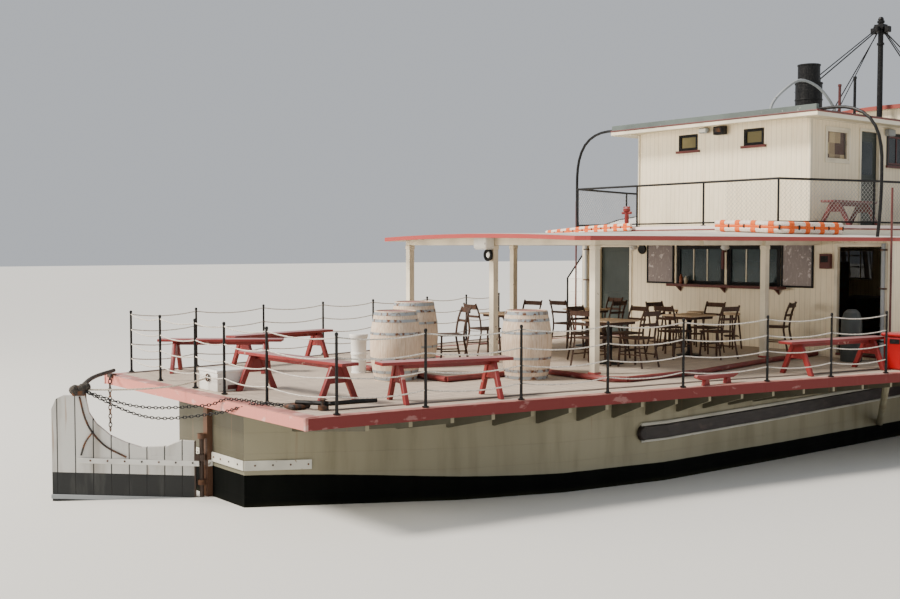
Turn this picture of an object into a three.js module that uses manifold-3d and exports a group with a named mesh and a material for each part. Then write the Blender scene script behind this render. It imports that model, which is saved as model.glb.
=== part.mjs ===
// Side-wheel paddle steamer for inland rivers, full size, in millimetres.
// X runs forward from the aft edge of the stern deck, Y to port, Z up from the flat bottom.
import * as THREE from 'three';
import { mergeVertices } from 'three/addons/utils/BufferGeometryUtils.js';
import Module from 'manifold-3d';

const wasm = await Module();
wasm.setup();

// Driving dimensions
const seat = 0.3; // clearance between touching pieces
const running = 0.4; // clearance round a shaft that turns in its bore
const deckZ = 2500; // top of the main deck over the flat bottom
const waterZ = 1000; // waterline over the flat bottom
const deckThick = 150;
const aftReach = 1600; // rudder tip aft of the deck edge
const stemX = 34200; // foremost point of the deck
const midX = (stemX - aftReach) / 2;
const sheerFrom = 21000;
const sheerRise = 900;

const houseAft = 11780;
const houseFront = 20200;
const houseWide = 3850; // half width abaft the paddle boxes
const houseNarrow = 3500; // half width between the paddle boxes
const wall = 60;
const thinWall = 50;

const awningEdge = deckZ + 2240;
const awningThick = 70;
const awningCrown = deckZ + 2380;
const promenadeZ = deckZ + 2470;

const cabinFront = 17300;
const cabinHalf = 2150;
const roofEdge = deckZ + 4600;
const roofCrown = deckZ + 4670;
const roofThick = 100;

const bridgeAft = 18150;
const bridgeFront = 20150;
const bridgeHalf = 1350;
const bridgeEdge = deckZ + 5350;
const bridgeCrown = deckZ + 5450;

const wideTo = 12750; // forward end of the wide part of the lower house
const wheelX = 15600;
const wheelZ = deckZ + 350;
const wheelRadius = 2300;
const wheelInner = 3680;
const wheelOuter = 5200;
const boxInner = 3540;
const boxOuter = 5340;
const shaftRadius = 110;

const funnelX = 14900;
const funnelRadius = 240;
const funnelCollar = 290;
const mastX = 17790;
const mastTop = deckZ + 7420;

const rudderX = 165;
const rudderTurn = THREE.MathUtils.degToRad(32);
const rudderThick = 80;
const stockRadius = 32;

// Finishes
function paint(color, roughness = 0.6, metalness = 0) {
  return new THREE.MeshStandardMaterial({ color, roughness, metalness });
}
const hullWhite = paint(0xd9d6cd);
const cream = paint(0xe6dcc0);
const white = paint(0xeeeeea);
const maroon = paint(0x6b2327);
const red = paint(0xa5322e);
const deckGrey = paint(0xa79c8b, 0.85);
const roofGreen = paint(0x8a9a92);
const doorGreen = paint(0x4f5f5b);
const black = paint(0x1c1c1e, 0.5);
const iron = paint(0x4a4a4c, 0.5, 0.7);
const oak = paint(0xb79c74, 0.8);

const model = new THREE.Group();
const afloat = new THREE.Group();
afloat.position.x = -midX;
model.add(afloat);

// Solids
function solid(geometry) {
  const bare = geometry.clone();
  bare.deleteAttribute('normal');
  bare.deleteAttribute('uv');
  const merged = mergeVertices(bare, 1e-4);
  return new wasm.Manifold(new wasm.Mesh({
    numProp: 3,
    vertProperties: new Float32Array(merged.attributes.position.array),
    triVerts: new Uint32Array(merged.index.array),
  }));
}

function node(name, body, material, parent = afloat) {
  const cut = body.getMesh();
  const geometry = new THREE.BufferGeometry();
  geometry.setAttribute('position', new THREE.BufferAttribute(new Float32Array(cut.vertProperties), 3));
  geometry.setIndex(new THREE.BufferAttribute(new Uint32Array(cut.triVerts), 1));
  geometry.computeVertexNormals();
  const mesh = new THREE.Mesh(geometry, material);
  mesh.name = name;
  parent.add(mesh);
  return mesh;
}

function join(bodies) {
  return bodies.reduce((whole, body) => whole.add(body));
}

function cut(body, tools) {
  return tools.reduce((rest, tool) => rest.subtract(tool), body);
}

// A box between two corners
function block(x0, x1, y0, y1, z0, z1) {
  const geometry = new THREE.BoxGeometry(x1 - x0, y1 - y0, z1 - z0);
  geometry.translate((x0 + x1) / 2, (y0 + y1) / 2, (z0 + z1) / 2);
  return solid(geometry);
}

// A plan outline of [x, y] raised from z0 to z1
function plate(outline, z0, z1) {
  const shape = new THREE.Shape(outline.map(([x, y]) => new THREE.Vector2(x, y)));
  const geometry = new THREE.ExtrudeGeometry(shape, { depth: z1 - z0, bevelEnabled: false });
  geometry.translate(0, 0, z0);
  return solid(geometry);
}

// A side outline of [x, z] running from y0 to y1
function side(outline, y0, y1) {
  const shape = new THREE.Shape(outline.map(([x, z]) => new THREE.Vector2(x, z)));
  const geometry = new THREE.ExtrudeGeometry(shape, { depth: y1 - y0, bevelEnabled: false });
  geometry.rotateX(Math.PI / 2);
  geometry.translate(0, y1, 0);
  return solid(geometry);
}

// A cross outline of [y, z] running from x0 to x1
function across(outline, x0, x1) {
  const shape = new THREE.Shape(outline.map(([y, z]) => new THREE.Vector2(y, z)));
  const geometry = new THREE.ExtrudeGeometry(shape, { depth: x1 - x0, bevelEnabled: false });
  geometry.applyMatrix4(new THREE.Matrix4().makeBasis(
    new THREE.Vector3(0, 1, 0), new THREE.Vector3(0, 0, 1), new THREE.Vector3(1, 0, 0)));
  geometry.translate(x0, 0, 0);
  return solid(geometry);
}

// A straight round bar between two points
function bar(from, to, radius, sides = 6, endRadius = radius) {
  const a = new THREE.Vector3(...from);
  const b = new THREE.Vector3(...to);
  const geometry = new THREE.CylinderGeometry(endRadius, radius, a.distanceTo(b), sides);
  const turn = new THREE.Quaternion().setFromUnitVectors(
    new THREE.Vector3(0, 1, 0), b.clone().sub(a).normalize());
  geometry.applyQuaternion(turn);
  const middle = a.add(b).multiplyScalar(0.5);
  geometry.translate(middle.x, middle.y, middle.z);
  return solid(geometry);
}

// Radius of a bore of 24 sides that clears a shaft all round
function boreRound(radius) {
  return (radius + running) / Math.cos(Math.PI / 24);
}

// A closed shell through cross sections, each { x, ring } with ring a list of [y, z]
function loft(sections) {
  const count = sections[0].ring.length;
  const positions = sections.flatMap(({ x, ring }) => ring.flatMap(([y, z]) => [x, y, z]));
  const index = [];
  for (let s = 0; s + 1 < sections.length; s += 1) {
    for (let i = 0; i < count; i += 1) {
      const a = s * count + i;
      const b = s * count + (i + 1) % count;
      index.push(a, b, b + count, a, b + count, a + count);
    }
  }
  const flat = (ring) => THREE.ShapeUtils.triangulateShape(
    ring.map(([y, z]) => new THREE.Vector2(y, z)), []);
  const last = (sections.length - 1) * count;
  flat(sections[0].ring).forEach(([a, b, c]) => index.push(a, c, b));
  flat(sections[sections.length - 1].ring).forEach(([a, b, c]) => index.push(last + a, last + b, last + c));
  const geometry = new THREE.BufferGeometry();
  geometry.setAttribute('position', new THREE.Float32BufferAttribute(positions, 3));
  geometry.setIndex(index);
  return solid(geometry);
}

// Reads a column of a table of rows [x, value, value, ...] at any x
function read(table, column, x) {
  const after = table.findIndex((row) => row[0] >= x);
  if (after <= 0) return after === 0 ? table[0][column] : table[table.length - 1][column];
  const [a, b] = [table[after - 1], table[after]];
  return a[column] + (b[column] - a[column]) * (x - a[0]) / (b[0] - a[0]);
}

function sheer(x) {
  return x <= sheerFrom ? 0 : sheerRise * ((x - sheerFrom) / (stemX - sheerFrom)) ** 2;
}

// Hull columns: x, half width at deck, at water, at bilge, of the flat bottom, height of the bottom
const hullTable = [
  [300, 1000, 1000, 900, 640, 480],
  [1500, 1680, 1670, 1560, 1250, 300],
  [2900, 2480, 2470, 2340, 2000, 140],
  [4400, 3060, 3040, 2920, 2600, 30],
  [6200, 3390, 3380, 3290, 3000, 0],
  [9000, 3450, 3450, 3400, 3120, 0],
  [22500, 3450, 3450, 3400, 3120, 0],
  [26000, 3250, 3180, 3060, 2760, 0],
  [29300, 2560, 2300, 2100, 1750, 0],
  [32000, 1520, 1120, 900, 600, 40],
  [33500, 620, 380, 280, 180, 200],
  [34100, 110, 90, 80, 60, 520],
];
// Deck columns: x, half width
const deckTable = [
  [0, 3100], [2000, 3360], [4000, 3690], [6000, 4050], [8000, 4440], [10000, 4870], [12000, 5350],
  [19400, 5350], [21500, 4900], [26000, 4150], [29300, 3300], [32000, 2150], [33500, 1000], [34200, 250],
];
const sheerStations = [21000, 23500, 27700, 30700, 33000];
const stations = [...new Set([...hullTable, ...deckTable].map((row) => row[0]).concat(sheerStations))]
  .sort((a, b) => a - b);
const sheerTable = stations.map((x) => [x, sheer(x)]);
const topOf = (x) => deckZ + read(sheerTable, 1, x);
const bilgeRise = 380;

function hullRing(x) {
  const [top, water, bilge, bottom, low] = [1, 2, 3, 4, 5].map((column) => read(hullTable, column, x));
  const high = topOf(x) - deckThick - seat;
  const turn = low + bilgeRise;
  return [[-bottom, low], [bottom, low], [bilge, turn], [water, waterZ], [top, high],
    [-top, high], [-water, waterZ], [-bilge, turn]];
}

// Knees that carry the overhanging deck
const kneePitch = 620;
const kneeDrop = 290;
const kneeThick = 60;
function knees() {
  const places = [];
  for (let x = 900; x < 12600; x += kneePitch) places.push(x);
  for (let x = 18900; x < 33000; x += kneePitch) places.push(x);
  return places.flatMap((x) => [-1, 1].map((hand) => {
    const inner = read(hullTable, 1, x) - 80;
    const outer = read(deckTable, 1, x) - 130;
    const under = topOf(x) - deckThick - seat - 20;
    const outline = [[inner, under - kneeDrop], [inner + 120, under - kneeDrop], [outer, under - 70],
      [outer, under], [inner, under]].map(([y, z]) => [hand * y, z]);
    return across(hand > 0 ? outline : outline.reverse(), x - kneeThick / 2, x + kneeThick / 2);
  }));
}

function hull() {
  const shell = loft(stations.filter((x) => x >= 300 && x <= 34100).map((x) => ({ x, ring: hullRing(x) })));
  const post = block(225, 320, -60, 60, 180, deckZ - deckThick - seat);
  const gudgeons = [520, 1180, 1840].map((z) => cut(
    join([bar([rudderX, 0, z], [rudderX, 0, z + 70], 60, 16), block(rudderX, 260, -45, 45, z, z + 70)]),
    [bar([rudderX, 0, z - 20], [rudderX, 0, z + 90], boreRound(stockRadius), 24)]));
  const struts = [-1, 1].map((hand) => bar(
    [10300, hand * 4650, deckZ - deckThick - 60], [12250, hand * 3380, 1230], 60, 8));
  const top = loft(stations.map((x) => {
    const half = read(deckTable, 1, x) + 500;
    const z = topOf(x) - deckThick - seat;
    return { x, ring: [[-half, z], [half, z], [half, z + 900], [-half, z + 900]] };
  }));
  return cut(join([shell, post, ...gudgeons, ...knees(), ...struts]), [top]);
}

function deck() {
  const slab = loft(stations.map((x) => {
    const half = read(deckTable, 1, x);
    return { x, ring: [[-half, topOf(x) - deckThick], [half, topOf(x) - deckThick], [half, topOf(x)],
      [-half, topOf(x)]] };
  }));
  const wells = [-1, 1].map((hand) => block(
    wheelX - 2450, wheelX + 2450, Math.min(hand * 3600, hand * 5230), Math.max(hand * 3600, hand * 5230),
    deckZ - 400, deckZ + 10));
  const bearings = [-1, 1].map((hand) => cut(
    block(wheelX - 260, wheelX + 260, hand * 3250 - 110, hand * 3250 + 110, deckZ - 20, wheelZ + 230),
    [bar([wheelX, hand * 3250 - 150, wheelZ], [wheelX, hand * 3250 + 150, wheelZ], boreRound(shaftRadius), 24)]));
  return join([cut(slab, wells), ...bearings]);
}

// Everything below the deck's top, for cutting what stands on its sheer
function belowDeck() {
  return loft(stations.filter((x) => x >= sheerFrom).map((x) => {
    const half = read(deckTable, 1, x) + 300;
    const high = topOf(x) + seat;
    return { x, ring: [[-half, high - 600], [half, high - 600], [half, high], [-half, high]] };
  }));
}

// Rubbing strake along one side, rising forward to the paddle box
function strake(hand) {
  const places = [5750, 6200, 9000, 13000, 22500];
  const ring = (x) => {
    const inner = read(hullTable, 1, x) + 1;
    const low = 1650 + (Math.min(x, 13000) - 5500) * 0.018;
    const points = [[inner, low], [inner + 60, low + 20], [inner + 60, low + 200], [inner, low + 220]];
    return hand > 0 ? points : points.map(([y, z]) => [-y, z]).reverse();
  };
  return loft(places.map((x) => ({ x, ring: ring(x) })));
}

// Low seating platform under the awning, drawn in to starboard clear of the doorway
const platformRise = 80;
function platform() {
  const aft = [[3650, 1240], [5600, 1240], [5600, 2800], [5780, 2980]];
  const starboard = [[7500, 3010], [9870, 2560], [houseAft - 5, 2330]];
  const outline = [...[...aft, ...starboard].map(([x, y]) => [x, -y]), [houseAft - 5, 2980],
    ...aft.slice().reverse()];
  return plate(outline, deckZ + seat, deckZ + platformRise);
}

// Arched roofs: edge height at half width, crown at the middle, thickness under the arch
const archSteps = 8;
function arch(half, edge, crown) {
  const points = [];
  for (let i = 0; i <= archSteps; i += 1) {
    const y = -half + (2 * half * i) / archSteps;
    points.push([y, edge + (crown - edge) * (1 - (y / half) ** 2)]);
  }
  return points;
}
function archRing(half, edge, crown, thick) {
  const top = arch(half, edge, crown);
  return [...top.map(([y, z]) => [y, z - thick]), ...top.slice().reverse()];
}

// Awning columns: x, half width, height of the crown
const awningTable = [
  [5150, 2480, awningEdge + 52], [5300, 2670, awningEdge + 58], [6500, 2898, awningEdge + 70],
  [8500, 3277, awningEdge + 112], [10500, 3657, awningCrown], [houseAft, 3900, awningCrown],
  [12740, 3900, awningCrown],
  [12760, 3500, awningCrown], [18240, 3500, awningCrown], [18260, 3900, awningCrown],
  [20400, 3900, awningCrown],
];
const uptake = (from, to) => bar([funnelX, 0, from], [funnelX, 0, to], funnelCollar + 5, 24);

function awning() {
  const shell = loft(awningTable.map(([x, half, crown]) => (
    { x, ring: archRing(half, awningEdge, crown, awningThick) })));
  return cut(shell, [uptake(deckZ + 1500, deckZ + 3000)]);
}
// Everything above the awning's underside, for cutting what carries it
function aboveAwning() {
  return loft(awningTable.map(([x, half, crown]) => (
    { x, ring: archRing(half + 1, awningEdge + 900, crown + 900, awningThick + 900 + seat) })));
}
// Everything below the awning's top, for cutting what stands on it
function belowAwning() {
  return loft(awningTable.map(([x, half, crown]) => (
    { x, ring: archRing(half + 1, awningEdge + seat, crown + seat, 1200) })));
}

const postSize = 110;
// Awning post columns: x, y
const postTable = [[5680, 0], [5680, 2400], [5680, -2400], [8300, 2400], [10040, -2400]];
function awningFrame() {
  const top = deckZ + 2500;
  const underBeam = deckZ + 2100;
  const foot = deckZ + platformRise + seat;
  const posts = postTable.map(([x, y]) => block(
    x - postSize / 2, x + postSize / 2, y - postSize / 2, y + postSize / 2, foot, top));
  const crossings = [5680, 8300, 10040].map((x) => block(x - 50, x + 50, -2455, 2455, underBeam, top));
  const runners = [-2340, 0, 2340].map((y) => block(5630, houseAft - 1, y - 45, y + 45, underBeam, top));
  return cut(join([...posts, ...crossings, ...runners]), [aboveAwning()]);
}

// Promenade deck columns: x, half width
const promenadeTable = [[10120, 2620], [12410, 3210], [14500, 3450], [20300, 3450]];
function promenade() {
  const slab = loft(promenadeTable.map(([x, half]) => (
    { x, ring: [[-half, deckZ + 2100], [half, deckZ + 2100], [half, promenadeZ], [-half, promenadeZ]] })));
  return cut(slab, [belowAwning(), uptake(deckZ + 1500, deckZ + 3000)]);
}

// A closed outline that runs counterclockwise, drawn in by a thickness all round
function inset(outline, thick) {
  const normal = ([u0, v0], [u1, v1]) => {
    const length = Math.hypot(u1 - u0, v1 - v0);
    return [-(v1 - v0) / length, (u1 - u0) / length];
  };
  return outline.map(([u, v], i) => {
    const [a, b] = normal(outline[(i + outline.length - 1) % outline.length], [u, v]);
    const [c, d] = normal([u, v], outline[(i + 1) % outline.length]);
    const reach = thick / (1 + a * c + b * d);
    return [u + reach * (a + c), v + reach * (b + d)];
  });
}

// A hollow house with open floor and the given openings cut through its walls
function house(outline, thick, z0, z1, openings) {
  return cut(plate(outline, z0, z1), [plate(inset(outline, thick), z0 - 10, z1 + 10), ...openings]);
}

// Doors hang inside their walls and swing inwards.
// Door columns: name, hinge x, hinge y, foot, height, width, stored turn, x and y from hinge to wall
const leafThick = 40;
const leafGap = 33;
const lowerInside = houseAft + wall + leafGap;
const cabinInside = cabinHalf - thinWall - leafGap;
const bridgeInside = bridgeHalf - thinWall - leafGap;
const doors = [
  ['door_lower_port', lowerInside, 2370, deckZ + 30, 2050, 980, 90, -1, 0],
  ['door_lower_starboard', lowerInside, -3730, deckZ + 30, 2050, 990, 25, -1, 0],
  ['door_cabin_port', 13470, cabinInside, promenadeZ + 30, 1880, 710, 0, 0, 1],
  ['door_cabin_starboard', 13470, -cabinInside, promenadeZ + 30, 1880, 710, 0, 0, -1],
  ['door_wheelhouse_port', 18270, bridgeInside, promenadeZ + 30, 1900, 710, 0, 0, 1],
  ['door_wheelhouse_starboard', 18270, -bridgeInside, promenadeZ + 30, 1900, 710, 0, 0, -1],
];
// Hinge lugs under and over each leaf of the doors whose names start so, fused to their wall
function hingeLugs(start) {
  return doors.filter(([name]) => name.startsWith(start)).flatMap(([, x, y, foot, height, , , dx, dy]) => (
    [[foot - seat - 25, foot - seat], [foot + height + seat, foot + height + 25]].map(([z0, z1]) => block(
      x - 20 + Math.min(dx, 0) * 15, x + 20, y - 20 + Math.min(dy, 0) * 15, y + 20 + Math.max(dy, 0) * 15, z0, z1))));
}

// Lower house opening columns: y from, y to, z from, z to over the main deck
const aftOpenings = [
  [-110, 1020, 1330, 2060], [-1460, -300, 1330, 2060], [2410, 3320, 90, 2070], [-3700, -2770, 90, 2070],
];
function lowerHouse() {
  const half = [[houseAft, houseWide], [wideTo, houseWide], [wideTo, houseNarrow], [houseFront, houseNarrow]];
  const outline = [...half.map(([x, y]) => [x, -y]), ...half.slice().reverse()];
  const aft = aftOpenings.map(([y0, y1, z0, z1]) => block(
    houseAft - 100, houseAft + 200, y0, y1, deckZ + z0, deckZ + z1));
  const front = [[-2600, -1500], [-500, 500], [1500, 2600]].map(([y0, y1], i) => block(
    houseFront - 200, houseFront + 100, y0, y1, deckZ + (i === 1 ? 30 : 1200), deckZ + 2000));
  const shaft = bar([wheelX, -4000, wheelZ], [wheelX, 4000, wheelZ], shaftRadius + 20, 16);
  const walls = house(outline, wall, deckZ + seat, deckZ + 2600, [...aft, ...front, shaft]);
  return cut(join([walls, ...hingeLugs('door_lower')]), [aboveAwning()]);
}

// Upper cabin openings: aft windows as y from, y to; side openings as x from, x to, z from, z to
const cabinAftWindows = [[570, 1020], [-1070, -640]];
const cabinSideOpenings = [
  [12310, 13050, 3760, 4340], [13500, 14150, 2490, 4380], [14500, 15200, 3760, 4340],
  [15900, 16600, 3760, 4340],
];
const roofRing = (grow, lift, thick) => archRing(2580 + grow, roofEdge + lift, roofCrown + lift, thick);
function upperCabin() {
  const aft = cabinAftWindows.map(([y0, y1]) => block(
    houseAft - 100, houseAft + 200, y0, y1, deckZ + 4110, deckZ + 4400));
  const sides = cabinSideOpenings.flatMap(([x0, x1, z0, z1]) => [-1, 1].map((hand) => block(
    x0, x1, hand * cabinHalf - 150, hand * cabinHalf + 150, deckZ + z0, deckZ + z1)));
  const outline = [[houseAft, -cabinHalf], [cabinFront, -cabinHalf], [cabinFront, cabinHalf],
    [houseAft, cabinHalf]];
  const walls = house(outline, thinWall, promenadeZ + seat, deckZ + 4900, [...aft, ...sides]);
  const above = loft([11000, 18000].map((x) => (
    { x, ring: roofRing(1, 900, roofThick + 900 + seat) })));
  return cut(join([walls, ...hingeLugs('door_cabin')]), [above]);
}
function upperRoof() {
  const shell = loft([11350, 17600].map((x) => ({ x, ring: roofRing(0, 0, roofThick) })));
  return cut(shell, [uptake(deckZ + 4000, deckZ + 5200)]);
}
// Everything below the roof's top, for cutting what stands on it
function belowRoof() {
  return loft([11000, 12000].map((x) => ({ x, ring: roofRing(1, seat, 900) })));
}
function roofBoard() {
  return cut(block(11360, 11415, -2560, 2560, deckZ + 4500, deckZ + 4715), [belowRoof()]);
}

// Wheelhouse windows: sides as x from, x to; ends as y from, y to
const bridgeRing = (grow, lift, thick) => archRing(1800 + grow, bridgeEdge + lift, bridgeCrown + lift, thick);
function wheelhouse() {
  const [low, high] = [deckZ + 3900, deckZ + 4850];
  const sides = [-1, 1].flatMap((hand) => [
    block(19150, 19950, hand * bridgeHalf - 150, hand * bridgeHalf + 150, low, high),
    block(18300, 18950, hand * bridgeHalf - 150, hand * bridgeHalf + 150, deckZ + 2490, deckZ + 4400),
  ]);
  const ends = [[-1200, -450], [-375, 375], [450, 1200]].flatMap(([y0, y1]) => [
    block(bridgeFront - 150, bridgeFront + 150, y0, y1, low, high),
    block(bridgeAft - 150, bridgeAft + 150, y0, y1, low + 300, high),
  ]);
  const outline = [[bridgeAft, -bridgeHalf], [bridgeFront, -bridgeHalf], [bridgeFront, bridgeHalf],
    [bridgeAft, bridgeHalf]];
  const above = loft([17000, 21000].map((x) => (
    { x, ring: bridgeRing(1, 900, roofThick + 900 + seat) })));
  const walls = house(outline, thinWall, promenadeZ + seat, deckZ + 5600, [...sides, ...ends]);
  return cut(join([walls, ...hingeLugs('door_wheelhouse')]), [above]);
}
function wheelhouseRoof() {
  return loft([18020, 20500].map((x) => ({ x, ring: bridgeRing(0, 0, roofThick) })));
}

// Paddle box: a casing over one wheel, open below. Columns: distance from the wheel's middle, height
const boxTable = [[wheelX - wideTo - seat, 3800], [1650, 5100], [1040, 5250], [430, 5335], [0, 5360]];
function boxOutline(foot) {
  const half = [[boxTable[0][0], foot], ...boxTable];
  return [...half.map(([x, z]) => [wheelX + x, z]),
    ...half.slice(0, -1).reverse().map(([x, z]) => [wheelX - x, z])];
}
function paddleBox(hand) {
  const [a, b] = hand > 0 ? [boxInner, boxOuter] : [-boxOuter, -boxInner];
  const casing = side(boxOutline(deckZ + seat), a, b);
  const room = side(inset(boxOutline(deckZ - 50 - wall), wall), a + wall, b - wall);
  const bore = bar([wheelX, a - 10, wheelZ], [wheelX, b + 10, wheelZ], shaftRadius + 6, 24);
  return cut(casing, [room, bore]);
}

// One paddle wheel: two spoked frames on a hub, with boards across them
const boards = 12;
const rimOuter = 1990;
const rimInner = 1890;
const hubRadius = 300;
const spokeHalf = 35;
function spokedFrame(y) {
  const point = (radius, angle) => new THREE.Vector2(
    wheelX + radius * Math.cos(angle), wheelZ + radius * Math.sin(angle));
  const step = (2 * Math.PI) / boards;
  const outline = Array.from({ length: 2 * boards }, (_, i) => point(rimOuter, (i * step) / 2));
  const frame = new THREE.Shape(outline);
  for (let i = 0; i < boards; i += 1) {
    const [near, far] = [spokeHalf / hubRadius, spokeHalf / rimInner];
    const middle = (i + 0.5) * step;
    frame.holes.push(new THREE.Path([
      point(hubRadius, i * step + near), point(rimInner, i * step + far), point(rimInner, middle),
      point(rimInner, (i + 1) * step - far), point(hubRadius, (i + 1) * step - near),
    ]));
  }
  const geometry = new THREE.ExtrudeGeometry(frame, { depth: 60, bevelEnabled: false });
  geometry.rotateX(Math.PI / 2);
  geometry.translate(0, y + 30, 0);
  return solid(geometry);
}
function paddleWheel(hand) {
  const middle = hand * (wheelInner + wheelOuter) / 2;
  const hub = bar([wheelX, middle - 640, wheelZ], [wheelX, middle + 640, wheelZ], 260, 12);
  const pieces = [hub, spokedFrame(middle - 560), spokedFrame(middle + 560)];
  for (let i = 0; i < boards; i += 1) {
    const board = new THREE.BoxGeometry(400, wheelOuter - wheelInner, 45);
    board.translate(wheelRadius - 210, middle, 0);
    board.rotateY((2 * Math.PI * i) / boards);
    board.translate(wheelX, 0, wheelZ);
    pieces.push(solid(board));
  }
  const bore = bar([wheelX, middle - 800, wheelZ], [wheelX, middle + 800, wheelZ], shaftRadius + seat, 16);
  return cut(join(pieces), [bore]);
}

function funnel() {
  const base = deckZ + 1750 + seat;
  const profile = [[0, base], [funnelCollar, base], [funnelCollar, deckZ + 5670], [funnelRadius, deckZ + 5670],
    [funnelRadius, deckZ + 6080], [funnelRadius - 15, deckZ + 6080], [funnelRadius - 15, deckZ + 4000],
    [0, deckZ + 4000]];
  const geometry = new THREE.LatheGeometry(profile.map(([r, z]) => new THREE.Vector2(r, z)), 24);
  geometry.rotateX(Math.PI / 2);
  geometry.translate(funnelX, 0, 0);
  const lug = block(funnelX + 200, funnelX + 380, -50, 50, deckZ + 5680, deckZ + 5850);
  return join([solid(geometry), lug]);
}

// Mast with its head fitting and the main stays
const masthead = mastTop - 160;
// Stay columns: x, y, z of the foot
const stayFeet = [
  [mastX, 3230, promenadeZ + 20], [mastX, -3230, promenadeZ + 20], [funnelX + 400, 0, deckZ + 5800],
  [33000, 0, deckZ + 780],
];
function mast() {
  const pole = bar([mastX, 0, promenadeZ + seat], [mastX, 0, mastTop], 75, 12, 60);
  const head = block(mastX - 110, mastX + 110, -110, 110, masthead - 60, masthead + 60);
  return join([pole, head, ...stayFeet.map((foot) => bar([mastX, 0, masthead], foot, 15, 6))]);
}

// Rail of posts and lines: rows of [x, y, base, top of post]
function rail(rows, heights, postRadius, lineRadius) {
  const posts = rows.map(([x, y, z, tall]) => bar([x, y, z], [x, y, z + tall], postRadius, 4));
  const lines = [];
  rows.slice(1).forEach(([x, y, z, tall], i) => {
    const [x0, y0, z0, tall0] = rows[i];
    heights.forEach((share) => lines.push(bar(
      [x0, y0, z0 + share * tall0], [x, y, z + share * tall], lineRadius, 4)));
  });
  return join([...posts, ...lines]);
}
// Stanchion columns for the stern: x, distance off the centreline
const sternPosts = [
  [10010, 4800], [8830, 4545], [7530, 4275], [5920, 3965], [4580, 3720], [3150, 3480], [1700, 3250],
  [450, 3085], [300, 1640], [300, 450],
];
const stanchion = 1000;
function sternRail() {
  const base = deckZ + seat;
  const starboard = sternPosts.map(([x, y]) => [x, -y, base, stanchion]);
  const port = sternPosts.slice().reverse().map(([x, y]) => [x, y, base, stanchion]);
  return rail([...starboard, ...port], [0.96, 0.5], 22, 10);
}
function bowRail() {
  const places = [21100, 22700, 24300, 26000, 27700, 29300, 30700, 32000, 33200];
  const half = (x) => read(deckTable, 1, x) - 110;
  const base = (x) => topOf(x) - 30;
  const starboard = places.map((x) => [x, -half(x), base(x), stanchion]);
  const port = places.slice().reverse().map((x) => [x, half(x), base(x), stanchion]);
  return cut(rail([...starboard, ...port], [0.96, 0.5], 22, 10), [belowDeck()]);
}
// Promenade rail columns: x, distance off the centreline
const promenadePosts = [
  [20200, 3350], [17200, 3350], [14500, 3350], [12410, 3100], [10250, 2520], [10250, 840],
];
function promenadeRail() {
  const row = (hand) => ([x, y]) => [x, hand * y, promenadeZ + seat, 830];
  const rows = [...promenadePosts.map(row(-1)), ...promenadePosts.slice().reverse().map(row(1))];
  return rail(rows, [0.97, 0.07], 26, 15);
}

// Pipe hoop from the awning edge to the cabin roof: points of [distance off the centreline, z]
const hoopPoints = [
  [3720, 2180], [3770, 2700], [3790, 3400], [3770, 3850], [3690, 4150], [3540, 4380], [3330, 4530], [3080, 4610],
  [2800, 4635], [2480, 4626],
];
function hoop(hand) {
  const points = hoopPoints.map(([y, z]) => new THREE.Vector3(11500, hand * y, deckZ + z));
  const path = new THREE.CatmullRomCurve3(points);
  const section = new THREE.Shape([0, 1, 2, 3, 4, 5, 6, 7].map((i) => (
    new THREE.Vector2(30 * Math.cos((i * Math.PI) / 4), 30 * Math.sin((i * Math.PI) / 4)))));
  const tube = new THREE.ExtrudeGeometry(section, { steps: 18, extrudePath: path });
  return cut(solid(tube), [belowAwning(), belowRoof()]);
}

// Trestle bench along X, centred on the origin
function bench(length, height) {
  const pieces = [block(-length / 2, length / 2, -140, 140, height - 45, height)];
  [-1, 1].forEach((end) => {
    const x = end * (length / 2 - 280);
    [-1, 1].forEach((hand) => pieces.push(across(
      [[hand * 300 - 45, 0], [hand * 300 + 45, 0], [hand * 70 + 45, height - 40], [hand * 70 - 45, height - 40]],
      x - 25, x + 25)));
    pieces.push(block(x - 24, x + 24, -215, 215, 240, 330));
  });
  return join(pieces);
}
// Bench columns: name, x, y, floor, turn in degrees, length, height
const benches = [
  ['bench_stern_port', 1650, 2250, deckZ, -39, 2050, 550],
  ['bench_port', 3150, 2850, deckZ, 8, 2200, 550],
  ['bench_stern', 1010, -1180, deckZ, -86, 2500, 550],
  ['bench_starboard', 2400, -2780, deckZ, -14, 1950, 550],
  ['bench_forward', 9570, -4120, deckZ, -8, 2300, 550],
  ['bench_promenade', 12510, -2530, promenadeZ, 0, 1500, 480],
];

function barrel(x, y, z) {
  const points = [[0, 0]];
  const steps = 6;
  for (let i = 0; i <= steps; i += 1) {
    const t = i / steps;
    points.push([325 + 75 * Math.sin(Math.PI * t), 1080 * t]);
  }
  points.push([0, 1080]);
  const geometry = new THREE.LatheGeometry(points.map(([r, h]) => new THREE.Vector2(r, h)), 16);
  geometry.rotateX(Math.PI / 2);
  geometry.translate(x, y, z);
  return solid(geometry);
}

function table(x, y) {
  const floor = deckZ + platformRise + seat;
  return join([
    block(x - 350, x + 350, y - 350, y + 350, floor + 720, floor + 750),
    bar([x, y, floor + 20], [x, y, floor + 730], 40, 8),
    bar([x, y, floor], [x, y, floor + 30], 230, 16),
  ]);
}

// Windlass on the foredeck: two cheeks and a drum
function windlass() {
  const x = 29300;
  const z = topOf(x);
  const cheeks = [-500, 500].map((y) => block(x - 160, x + 160, y - 70, y + 70, z - 60, z + 750));
  return cut(join([...cheeks, bar([x, -760, z + 480], [x, 760, z + 480], 150, 12)]), [belowDeck()]);
}

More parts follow.
